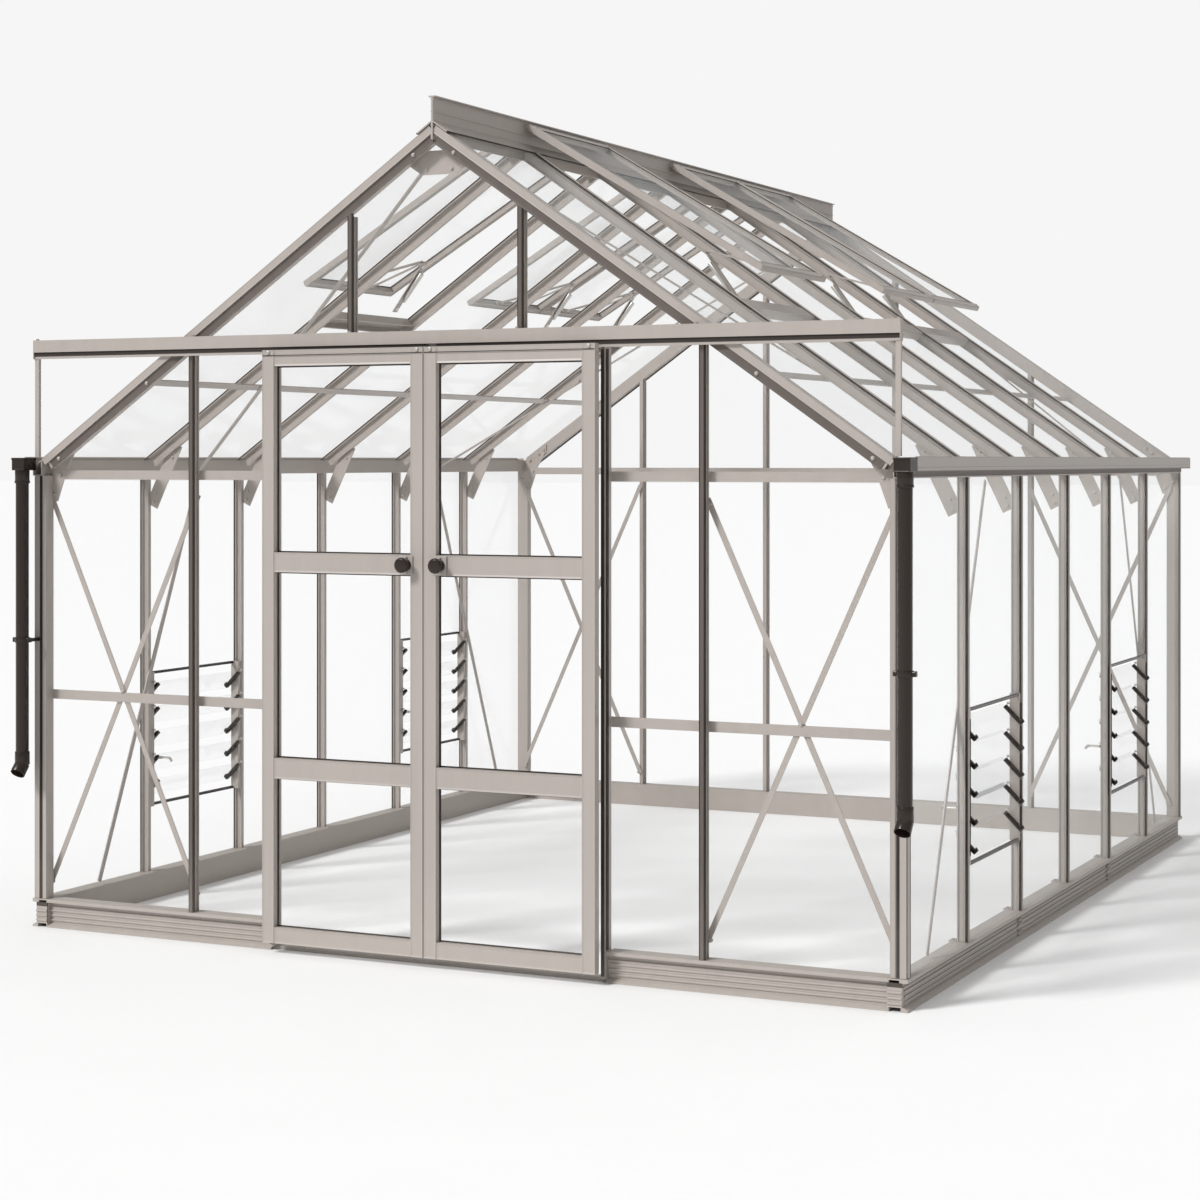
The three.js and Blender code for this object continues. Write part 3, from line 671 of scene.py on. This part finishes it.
def rib_bolts():
    """Bolts of the knees and the foot cleats of the side bars."""
    pieces = []
    for number in range(1, 6):
        y = bar_y(number)
        for x, z in KNEE_BOLTS:
            pieces.append(bolt_at((x, y + 0.0035, z), (0, -1, 0)))
        cleat_high = (WALL_X - 0.037, y + 0.014, CILL_TOP + 0.0035)
        cleat = block((WALL_X - 0.062, y - 0.014, CILL_TOP), cleat_high, PAINT)
        pieces.append(soften(cleat, 0.0005, 1))
        pieces.append(bolt_at((WALL_X - 0.050, y, CILL_TOP + 0.0035), (0, 0, 1)))
    fit_pair(joined(pieces), "rib_bolts_{}", HOUSE)


# ---- Gutters and ridge ----

GUTTER_LINE = (1.5665, 1.5700)   # lower and upper edge of the drip line
# top of the painted shade strip on the beam
GUTTER_SHADE_TOP = 1.5598
GUTTER_STOP_LOW = 1.556
RIDGE_BEADS = (0.010, 0.050, 0.092)      # below the crest


def gutter_details():
    """A rolled bead along the lip, a drip line, a dark strip of painted shade on the beam under the
    gutter and a stop at the rear.
    """
    low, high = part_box("eaves_gutter_right")
    bead = rod((high.x - 0.004, low.y, high.z), (high.x - 0.004, high.y, high.z), 0.004, PAINT, 12)
    smooth(soften(bead, THIN_EDGE, 1))
    line_low = (high.x, low.y, GUTTER_LINE[0])
    line = block(line_low, (high.x + 0.0015, high.y, GUTTER_LINE[1]), PAINT)
    soften(line, THIN_EDGE, 1)
    # Painted shade: a dark strip on the face of the beam, where the gutter shades it.
    shade_low = (WALL_X, low.y + 0.002, BEAM_BOTTOM + 0.004)
    seal = block(shade_low, (WALL_X + 0.0015, high.y - 0.002, GUTTER_SHADE_TOP), BROWN_TRIM_AND_SHADE)
    inset(seal, facing((1, 0, 0)), 0.004, -0.0006)
    soften(seal, FINE_EDGE, 1)
    stop_high = (high.x + 0.001, high.y + 0.003, high.z + 0.002)
    stop = block((WALL_X - 0.004, high.y, GUTTER_STOP_LOW), stop_high, PAINT)
    inset(stop, facing((0, 1, 0)), 0.004, 0.001)
    soften(stop, 0.001, 2)
    fit_pair(joined([bead, line, seal, stop]), "gutter_bead_{}", HOUSE)


def ridge_details():
    """Rolled beads on the ridge web and a dark seal where its wings meet the glass."""
    low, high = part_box("ridge_beam")
    pieces = []
    for below in RIDGE_BEADS:
        z = high.z - below
        strip = block((0.003, low.y, z - 0.002), (0.0055, high.y, z + 0.002), PAINT)
        pieces.append(soften(strip, SOFT_EDGE, 2))
    start = on_roof(RIDGE_WING, -0.002, low.y + 0.002)
    end = on_roof(RIDGE_WING, -0.002, high.y - 0.002)
    seal = block((-0.005, -0.002, 0), (0.001, 0.0022, (end - start).length), SEAL_AND_SHADE)
    soften(seal, EDGE, 1)
    pieces.append(turned(seal, along(start, end, ROOF_OUT)))
    fit_pair(joined(pieces), "ridge_beads_{}", HOUSE)


# ---- Doors ----

DOOR_STILE = 0.044
DOOR_RAILS = ((0.035, 0.087), (0.566, 0.632), (1.230, 1.294), (1.893, 1.945))
DOOR_SEAL = 0.004
# Steps of the turned knob: how far each runs out, and how much it widens or narrows
KNOB_STEPS = (
    (0.0030, 0.50), (0.0100, 1.0), (0.0040, 2.2), (0.0050, 1.15), (0.0060, 1.0), (0.0045, 0.80),
)
STOP_TOP = 1.93                  # upper end of the seals on the jambs
TRACK_LOW = 1.934
# Painted shadow: the dark strip on the track face under its lip.
TRACK_SHADOW_STRIP = (1.9435, 1.9565)  # lower and upper edge


def door_bar(low, high):
    """A stile or rail with a shallow channel pressed along its front."""
    bar = block(low, high, PAINT)
    inset(bar, facing((0, -1, 0)), 0.006, -0.0018)
    return soften(bar, 0.0009, 2)


def door_details():
    """Each door's stiles, rails, glass seals, edge brush, hangers and top line."""
    low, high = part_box("door_leaf_right")
    bars = []
    for x0, x1 in ((low.x, low.x + DOOR_STILE), (high.x - DOOR_STILE, high.x)):
        bars.append(door_bar((x0, low.y, low.z), (x1, high.y, high.z)))
    inner = (low.x + DOOR_STILE, high.x - DOOR_STILE)
    for z0, z1 in DOOR_RAILS:
        bars.append(door_bar((inner[0], low.y + 0.0015, z0), (inner[1], high.y, z1)))
    fit_pair(joined(bars), "door_{}_stiles_and_rails", "door_{}", ["door_leaf_{}"])
    seals = []
    for lower_rail, upper_rail in zip(DOOR_RAILS, DOOR_RAILS[1:]):
        opening = ((inner[0], lower_rail[1]), (inner[1], upper_rail[0]))
        for (x0, z0), (x1, z1) in border(*opening, DOOR_SEAL):
            strip = block((x0, high.y - 0.007, z0), (x1, high.y - 0.0002, z1), SEAL_AND_SHADE)
            seals.append(soften(strip, EDGE, 1))
    brush_low = (low.x - 0.0010, low.y + 0.004, low.z + 0.01)
    brush = block(brush_low, (low.x + 0.0008, high.y - 0.004, high.z - 0.01), SEAL_AND_SHADE)
    seals.append(soften(brush, FINE_EDGE, 1))
    fit_pair(joined(seals), "door_{}_seals", "door_{}")
    hangers = []
    for x in (low.x + 0.022, high.x - 0.022):
        z = high.z - 0.008
        stem = rod((x, low.y - 0.0015, z), (x, low.y, z), 0.0065, BOLT_METAL, 20)
        inset(stem, facing((0, -1, 0)), 0.0025, 0.0008)
        hangers.append(soften(stem, THIN_EDGE, 2))
    line_low = (low.x + 0.002, low.y - 0.0010, high.z - 0.019)
    top_line = block(line_low, (high.x - 0.002, low.y, high.z - 0.0165), SEAL_AND_SHADE)
    hangers.append(soften(top_line, 0.0003, 1))
    fit_pair(joined(hangers), "door_{}_hangers", "door_{}")


def knob_details():
    """A turned knob on each door, over a latch plate with two screws."""
    low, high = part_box("door_knob_right")
    middle = (low + high) / 2
    face = high.y
    rose = rod((middle.x, face, middle.z), (middle.x, face - 0.006, middle.z), 0.019, PLASTIC, 40)
    for forward, grow in KNOB_STEPS:
        push_end(rose, (0, -1, 0), (0, -forward, 0), grow)
    knob = smooth(soften(rose, SOFT_EDGE, 3))
    fit_pair(knob, "door_knob_turned_{}", "door_{}", ["door_knob_{}"])
    plate_low = (middle.x - 0.024, face - 0.0020, middle.z - 0.030)
    plate = block(plate_low, (middle.x + 0.024, face + 0.0002, middle.z + 0.030), PAINT)
    inset(plate, facing((0, -1, 0)), 0.003, 0.0006)
    soften(plate, EDGE, 2)
    screws = [
        bolt_at((middle.x, face - 0.0024, middle.z + above), (0, -1, 0)) for above in (-0.0235, 0.0235)
    ]
    fit_pair(joined([plate, *screws]), "door_{}_latch_plate", "door_{}")


def door_frame_details():
    """Brush seals on the jambs, partly painted shade of their shaded sides, and end caps, bolts and a
    dark strip of painted shadow under the lip of the track.
    """
    pieces = []
    jamb_front = FRONT_Y - 0.010
    # The brush strip on the outer side of the jamb is partly a dark brush seal and partly painted shade
    # of that side.
    brush_low = (DOORWAY_HALF, jamb_front + 0.006, 0.10)
    brush = block(brush_low, (DOORWAY_HALF + 0.003, jamb_front + 0.022, STOP_TOP), SEAL_AND_SHADE)
    inset(brush, facing((1, 0, 0)), 0.003, -0.001)
    pieces.append(soften(brush, THIN_EDGE, 1))
    stop_low = (DOORWAY_HALF - 0.012, jamb_front - 0.006, 0.02)
    stop = block(stop_low, (DOORWAY_HALF - 0.002, jamb_front, STOP_TOP), SEAL_AND_SHADE)
    pieces.append(soften(stop, 0.0015, 2))
    for x in (TRACK_END_X - 0.008, 0.30, 0.90):
        pieces.append(bolt_at((x, FRONT_Y - 0.012, DOOR_HEAD + 0.0002), (0, 0, 1)))
    cap_low = (TRACK_END_X - 0.0005, FRONT_Y - 0.0245, TRACK_LOW)
    cap = block(cap_low, (TRACK_END_X + 0.002, FRONT_Y - 0.0005, DOOR_HEAD + 0.0005), PAINT)
    inset(cap, facing((1, 0, 0)), 0.003, -0.0008)
    pieces.append(soften(cap, EDGE, 2))
    # Painted shadow: a dark strip along the track face, where the lower lip of the track is in shadow.
    track_shadow_high = (TRACK_END_X - 0.001, FRONT_Y - 0.0185, TRACK_SHADOW_STRIP[1])
    track_shadow = block((0.02, FRONT_Y - 0.0195, TRACK_SHADOW_STRIP[0]), track_shadow_high, SEAL_AND_SHADE)
    inset(track_shadow, facing((0, -1, 0)), 0.002, -0.0004)
    pieces.append(track_shadow)
    fit_pair(joined(pieces), "door_frame_trim_{}", HOUSE)


# ---- Roof vents ----

VENT_START = 0.006               # from the hinge line to the edge of the rim
VENT_LENGTH = 0.981
VENT_SLOPE = math.radians(30.8)
VENT_RIM = 0.028
VENT_LOW = -0.012
VENT_TOP = 0.010
VENT_HALF = BAY / 2 - 0.005
VENT_SEAL = 0.004
OPENER_END = 0.944               # down the vent, just inside its lower rail
OPENER_SPREAD = 0.100
PEG_HALF = 0.118


def vent_place(bay):
    """Local x runs down from the hinge, y along the ridge and z outwards, at rest."""
    place = Vector(JOINTS[f"vent_right_{bay}_hinge"]["pos_m"])
    return Matrix.Translation(place) @ Matrix.Rotation(VENT_SLOPE, 4, "Y")


def vent_sash():
    """Four rails round the pane, the hinge barrel, a drip edge and corner bolts."""
    start, half = VENT_START, VENT_HALF
    rails = []
    upper, lower = start + VENT_RIM, VENT_LENGTH - VENT_RIM
    for x0, x1, y0, y1 in (
        (start, upper, -half, half), (lower, VENT_LENGTH, -half, half),
        (upper, lower, -half, VENT_RIM - half), (upper, lower, half - VENT_RIM, half),
    ):
        rail = block((x0, y0, VENT_LOW), (x1, y1, VENT_TOP), PAINT)
        inset(rail, facing((0, 0, 1)), 0.007, -0.002)
        inset(rail, facing((0, 0, -1)), 0.006, -0.003)
        rails.append(soften(rail, EDGE, 2))
    barrel = rod((0, -half, 0), (0, half, 0), 0.008, PAINT, 24)
    inset(barrel, facing((0, 1, 0)), 0.002, -0.002)
    inset(barrel, facing((0, -1, 0)), 0.002, -0.002)
    rails.append(smooth(barrel))
    drip_low = (VENT_LENGTH, -half, VENT_LOW + 0.002)
    drip = block(drip_low, (VENT_LENGTH + 0.002, half, VENT_TOP - 0.006), PAINT)
    rails.append(soften(drip, EDGE, 1))
    for x in (start + 0.014, VENT_LENGTH - 0.014):
        for y in (0.014 - half, half - 0.014):
            rails.append(bolt_at((x, y, VENT_TOP - 0.002), (0, 0, 1)))
    return joined(rails)


def flat_arm(start, end, across, width, thickness, finish):
    """A flat link with rounded edges and a rivet at each end."""
    length = (Vector(end) - Vector(start)).length
    link = block((-width / 2, -thickness / 2, 0), (width / 2, thickness / 2, length), finish)
    inset(link, facing((0, 1, 0)), width * 0.22, -thickness * 0.2)
    inset(link, facing((0, -1, 0)), width * 0.22, -thickness * 0.2)
    soften(link, thickness * 0.3, 2)
    rivets = []
    for z in (width * 0.5, length - width * 0.5):
        rivet = rod((0, -thickness, z), (0, thickness, z), width * 0.3, STEEL, 12)
        rivets.append(soften(rivet, width * 0.06, 1))
    return turned(joined([link, *rivets]), along(start, end, across))


def vent_opener():
    """An opener with two arms under the pane: its elbow points up the roof, to the ridge."""
    elbow = Vector((0.665, 0.0, -0.085))
    under = -0.009
    outward = (0, 0, 1)
    parts = []
    for side in (-1, 1):
        foot = (OPENER_END, side * OPENER_SPREAD, under)
        joint = elbow + Vector((0, side * 0.008, 0))
        parts.append(flat_arm(foot, joint, outward, 0.024, 0.004, PAINT))
    lower_end = (0.860, 0.0, -0.175)
    parts.append(flat_arm(elbow + Vector((0, 0, -0.006)), lower_end, outward, 0.030, 0.004, PAINT))
    cylinder = rod(elbow + Vector((0.03, 0, -0.032)), (0.780, 0.0, -0.150), 0.009, STEEL, 20)
    push_end(cylinder, (1, 0, 0), (0.030, 0, -0.016), 0.5)
    parts.append(smooth(soften(cylinder, 0.001, 2)))
    peg_high = (OPENER_END + 0.005, PEG_HALF, under + 0.010)
    peg = block((OPENER_END - 0.003, -PEG_HALF, under - 0.004), peg_high, PAINT)
    inset(peg, facing((-1, 0, 0)), 0.003, -0.001)
    parts.append(soften(peg, EDGE, 1))
    return joined(parts)


def vent_seals():
    """A rubber bead round the pane, on its upper face."""
    low = (VENT_START + VENT_RIM, VENT_RIM - VENT_HALF)
    high = (VENT_LENGTH - VENT_RIM, VENT_HALF - VENT_RIM)
    strips = []
    for (x0, y0), (x1, y1) in border(low, high, VENT_SEAL):
        strip = block((x0, y0, 0.0072), (x1, y1, 0.0095), SEAL_AND_SHADE)
        strips.append(soften(strip, EDGE, 1))
    return joined(strips)


def vent_pane():
    """The vent's glass, which reaches just into the rim."""
    edge = VENT_RIM - 0.0002
    low = (VENT_START + edge, edge - VENT_HALF, 0.004)
    pane = block(low, (VENT_LENGTH - edge, VENT_HALF - edge, 0.007), GLASS)
    inset(pane, facing((0, 0, 1)), 0.002, 0.0)
    return soften(pane, FINE_EDGE, 1)


def vents():
    """Three vents on each slope, from one set of pieces."""
    sash, seals, pane, opener = vent_sash(), vent_seals(), vent_pane(), vent_opener()
    for bay in VENT_BAYS:
        place = vent_place(bay)
        tag = f"_{bay}"
        body = "vent_{}" + tag
        old = ["roof_vent_{}" + tag]
        fit_pair(copy_of(sash, place), "vent_sash_{}" + tag, body, old)
        fit_pair(copy_of(seals, place), "vent_seals_{}" + tag, body)
        fit_pair(copy_of(pane, place), "vent_pane_{}" + tag, body)
        fit_pair(copy_of(opener, place), "vent_opener_{}" + tag, body)
    for obj in (sash, seals, pane, opener):
        bpy.data.objects.remove(obj)


# ---- Louvres ----

LOUVRE_BOTTOM = 0.330
LOUVRE_TOP = 0.818
LOUVRE_RAIL = 0.008
LEVER_ROW = 2
BLADE_HALF = 0.050
BLADE_ANGLE = math.radians(45)
CLIP_HALF = 0.038


def louvre_pane(length):
    """One glass blade, flat, with its length along y."""
    pane = block((-BLADE_HALF, -length / 2, -0.002), (BLADE_HALF, length / 2, 0.002), GLASS)
    inset(pane, facing((0, 0, 1)), 0.002, 0.0)
    return soften(pane, EDGE, 2)


def louvre_clips(length):
    """A channel that grips each end of the glass, with a hook at its lower edge and a pivot pin."""
    clips = []
    for end in (-1, 1):
        y0, y1 = sorted((end * (length / 2 - 0.014), end * (length / 2 + 0.0008)))
        clip = block((-CLIP_HALF, y0, -0.0062), (CLIP_HALF, y1, 0.0062), PLASTIC)
        inset(clip, facing((0, -end, 0)), 0.002, -0.004)
        soften(clip, EDGE, 2)
        hook = block((CLIP_HALF - 0.004, y0, -0.0062), (CLIP_HALF + 0.006, y1, 0.0100), PLASTIC)
        push_out(hook, facing((0, 0, 1)), (-0.005, 0, 0.003), 0.7)
        soften(hook, EDGE, 1)
        reach = 0.0012 if end < 0 else 0.0056
        near, far = sorted((end * (length / 2 - 0.004), end * (length / 2 + reach)))
        pin = rod((0, near, 0), (0, far, 0), 0.005, PLASTIC, 16)
        inset(pin, facing((0, end, 0)), 0.0015, -0.0008)
        clips.extend([clip, hook, pin])
    return joined(clips)


def louvre_lever(length):
    """The handle that turns a set of blades: a flat arm with its tip bent down."""
    y = 0.007 - length / 2
    start = Vector((-CLIP_HALF + 0.004, y, -0.004))
    bend = start + Vector((-0.036, 0, -0.036))
    tip = bend + Vector((0.002, 0, -0.014))
    arm = flat_arm(start, bend, (0, 1, 0), 0.010, 0.004, STEEL)
    end = flat_arm(bend + Vector((0.001, 0, 0.003)), tip, (0, 1, 0), 0.010, 0.0045, STEEL)
    return joined([arm, end])


def louvres():
    """Five blades in each louvre, turned to where they stand at rest."""
    length = BAY - 0.0675
    pane, clips, lever = louvre_pane(length), louvre_clips(length), louvre_lever(length)
    for bay in LOUVRE_BAYS:
        for row in range(1, BLADES + 1):
            tag = f"_{bay}_{row}"
            pivot = Vector(JOINTS[f"louvre_right{tag}_pivot"]["pos_m"])
            pivot.y = bar_y(bay - 1) + 0.032 + length / 2
            place = Matrix.Translation(pivot) @ Matrix.Rotation(BLADE_ANGLE, 4, "Y")
            body = "louvre_{}" + tag
            fit_pair(
                copy_of(pane, place), "louvre_pane_{}" + tag, body, ["louvre_blade_{}" + tag]
            )
            fit_pair(copy_of(clips, place), "louvre_clips_{}" + tag, body)
            if row == LEVER_ROW:
                fit_pair(copy_of(lever, place), "louvre_lever_{}" + tag, body)
    for obj in (pane, clips, lever):
        bpy.data.objects.remove(obj)


def louvre_sides():
    """Dark carrier strips up both sides of each louvre, dark rails, and a knob for each blade."""
    pieces = []
    for bay in LOUVRE_BAYS:
        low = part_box(f"louvre_blade_right_{bay}_1")[0]
        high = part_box(f"louvre_blade_right_{bay}_{BLADES}")[1]
        for y, inward in ((bar_y(bay - 1) + 0.0115, 1), (bar_y(bay) - 0.0115, -1)):
            y0, y1 = sorted((y, y + inward * 0.004))
            strip = block((WALL_X - 0.003, y0, low.z), (WALL_X + 0.002, y1, high.z), PLASTIC)
            inset(strip, facing((1, 0, 0)), 0.001, -0.0005)
            pieces.append(strip)
            for row in range(1, BLADES + 1):
                blade_low, blade_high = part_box(f"louvre_blade_right_{bay}_{row}")
                z = (blade_low.z + blade_high.z) / 2
                pieces.append(louvre_knob(y + inward * 0.010, z + 0.034))
        for z in (LOUVRE_BOTTOM, LOUVRE_TOP - LOUVRE_RAIL):
            near, far = bar_y(bay - 1) + 0.0305, bar_y(bay) - 0.0295
            sleeve_high = (WALL_X - 0.0024, far, z + LOUVRE_RAIL + 0.0006)
            sleeve = block((WALL_X - 0.0146, near, z - 0.0006), sleeve_high, PLASTIC)
            inset(sleeve, facing((1, 0, 0)), 0.002, -0.0004)
            inset(sleeve, facing((-1, 0, 0)), 0.002, -0.0004)
            pieces.append(soften(sleeve, 0.001, 2))
    fit_pair(joined(pieces), "louvre_carriers_{}", HOUSE)


def louvre_knob(y, z):
    """The button that holds a blade carrier to its strip, on the inner side."""
    inner = WALL_X - 0.0352
    knob = rod((inner, y, z), (inner - 0.006, y, z), 0.0030, STEEL, 14)
    push_end(knob, (-1, 0, 0), (-0.001, 0, 0), 1.7)
    push_end(knob, (-1, 0, 0), (-0.004, 0, 0), 0.8)
    return smooth(soften(knob, THIN_EDGE, 1))


# ---- Downpipes ----

PIPE_RADIUS = 0.022
PIPE_TOP = 1.560
PIPE_BOTTOM = 0.560
PIPE_CLIP_Z = 0.980
# Collars of the pipe: lower and upper end, and how much wider than the pipe
PIPE_COLLARS = (
    (1.520, 1.557, 0.0025),
    (PIPE_BOTTOM - 0.004, PIPE_BOTTOM + 0.040, 0.003),
    (1.512, 1.520, 0.004),
)
SHOE_LEAN = math.radians(40)


def downpipes():
    """Outlet box, pipe, collars, clip with its ears and leg, and a leaning shoe."""
    x = WALL_X + 0.013
    y = FRONT_Y - 0.053
    pieces = []
    outlet_high = (GUTTER_LIP_X, FRONT_Y - 0.0123, 1.600)
    outlet = block((WALL_X - 0.014, y - 0.027, 1.556), outlet_high, PLASTIC)
    inset(outlet, facing((0, -1, 0)), 0.004, -0.0012)
    inset(outlet, facing((0, 0, 1)), 0.003, -0.010)
    pieces.append(soften(outlet, 0.002, 3))
    rim_low = (WALL_X - 0.0155, y - 0.0285, 1.592)
    rim = block(rim_low, (GUTTER_LIP_X + 0.0015, FRONT_Y - 0.0123, 1.5985), PLASTIC)
    inset(rim, facing((0, 0, 1)), 0.004, -0.004)
    pieces.append(soften(rim, SOFT_EDGE, 2))
    pipe = rod((x, y, PIPE_BOTTOM), (x, y, PIPE_TOP), PIPE_RADIUS, PLASTIC, 40)
    pieces.append(smooth(pipe))
    for z0, z1, wide in PIPE_COLLARS:
        collar = rod((x, y, z0), (x, y, z1), PIPE_RADIUS + wide, PLASTIC, 40)
        inset(collar, facing((0, 0, 1)), wide * 0.6, 0.0006)
        pieces.append(smooth(soften(collar, 0.001, 2)))
    clip_low = (x, y, PIPE_CLIP_Z - 0.009)
    clip = rod(clip_low, (x, y, PIPE_CLIP_Z + 0.009), PIPE_RADIUS + 0.0035, PLASTIC, 40)
    inset(clip, facing((0, 0, 1)), 0.001, -0.0008)
    pieces.append(smooth(soften(clip, EDGE, 2)))
    for side in (-1, 1):
        ear_x = x + side * 0.028
        ear_low = (ear_x - 0.007, y - 0.008, PIPE_CLIP_Z - 0.008)
        ear = block(ear_low, (ear_x + 0.007, y + 0.008, PIPE_CLIP_Z + 0.008), PLASTIC)
        inset(ear, facing((0, -1, 0)), 0.003, 0.0015)
        pieces.append(soften(ear, 0.0015, 2))
    leg_high = (x - 0.026, FRONT_Y - 0.0003, PIPE_CLIP_Z + 0.006)
    leg = block((x - 0.034, y, PIPE_CLIP_Z - 0.006), leg_high, PLASTIC)
    inset(leg, facing((-1, 0, 0)), 0.003, -0.001)
    pieces.append(soften(leg, 0.001, 2))
    reach = Vector((0, -math.sin(SHOE_LEAN), -math.cos(SHOE_LEAN)))
    mouth = Vector((x, y, PIPE_BOTTOM - 0.002))
    end = mouth + reach * 0.040
    shoe = rod(mouth, end, PIPE_RADIUS + 0.003, PLASTIC, 40)
    inset(shoe, facing(reach), 0.0025, 0.0)
    push_out(shoe, lambda centre, normal: (centre - end).length < 0.004, -reach * 0.030)
    pieces.append(smooth(soften(shoe, EDGE, 2)))
    fit_pair(joined(pieces), "downpipe_moulded_{}", HOUSE, ["downpipe_{}"])


# ---- Materials of the CAD pieces that stay ----

def paint_frame():
    """Glass on the panes and paint on all the other pieces that show."""
    for name, node in frame["nodes"].items():
        if node.hide_render:
            continue
        material = GLASS if "glass" in name else PAINT
        node.data.materials.clear()
        node.data.materials.append(material)


# ---- Floor, lights and camera ----

SUNS = (
    ("key", (0.53, 0.85, -0.84), 2.7, 14),       # name, towards, strength, spread in degrees
    ("top", (-0.10, -0.25, -1.0), 0.5, 60),
)
LENS = 74.92
SHIFT = (0.01946, -0.11638)
EYE = Vector((3.808, MIDDLE_Y - 8.729, 1.590))
HEADING = math.radians(25.64)


def lay_floor():
    """A plain pale floor, just below the foot of the plinth."""
    deselect()
    bpy.ops.mesh.primitive_plane_add(size=300, location=(0, 0, -0.0005))
    pale = coated("Pale floor", FLOOR_COLOUR, 0.9, tone=0.02, dust=0.0, bump=0.0)
    floor = settle(bpy.context.object, pale)
    floor.name = "floor"


def light_room():
    """Soft white light from all round. The camera sees a brighter backdrop in its place."""
    world = bpy.data.worlds.new("Studio")
    world.use_nodes = True
    tree = world.node_tree
    room = tree.nodes["Background"]
    room.inputs["Color"].default_value = (1.0, 1.0, 1.0, 1)
    room.inputs["Strength"].default_value = 0.42
    backdrop = linked(tree, "ShaderNodeBackground", {"Color": (1, 1, 1, 1), "Strength": 0.92})
    seen = linked(tree, "ShaderNodeLightPath").outputs["Is Camera Ray"]
    either = linked(tree, "ShaderNodeMixShader", {0: seen, 1: room.outputs[0], 2: backdrop.outputs[0]})
    tree.links.new(either.outputs[0], tree.nodes["World Output"].inputs["Surface"])
    bpy.context.scene.world = world


def hang_lights():
    """A soft key light from the left of the doors, and a wider one from above."""
    for name, towards, power, spread in SUNS:
        light = bpy.data.lights.new(name, "SUN")
        light.energy = power
        light.angle = math.radians(spread)
        lamp = bpy.data.objects.new(name, light)
        bpy.context.scene.collection.objects.link(lamp)
        lamp.rotation_euler = Vector(towards).to_track_quat("-Z", "Y").to_euler()


def make_camera():
    """A long lens at standing height, in front and to the right of the doors."""
    camera = bpy.data.cameras.new("camera")
    camera.sensor_width = 36.0
    camera.lens = LENS
    camera.shift_x, camera.shift_y = SHIFT
    camera.clip_end = 200
    holder = bpy.data.objects.new("camera", camera)
    bpy.context.scene.collection.objects.link(holder)
    holder.location = EYE
    holder.rotation_euler = (math.pi / 2, 0, HEADING)
    bpy.context.scene.camera = holder


make_camera()
wall_trims()
gable_trims()
rafter_edges()
corner_edges()
plinth_details()
gable_bolts()
rib_bolts()
gutter_details()
ridge_details()
door_details()
knob_details()
door_frame_details()
vents()
louvres()
louvre_sides()
downpipes()
bpy.data.objects.remove(BOLT)
paint_frame()
bpy.context.scene.view_settings.view_transform = "Standard"
lay_floor()
light_room()
hang_lights()
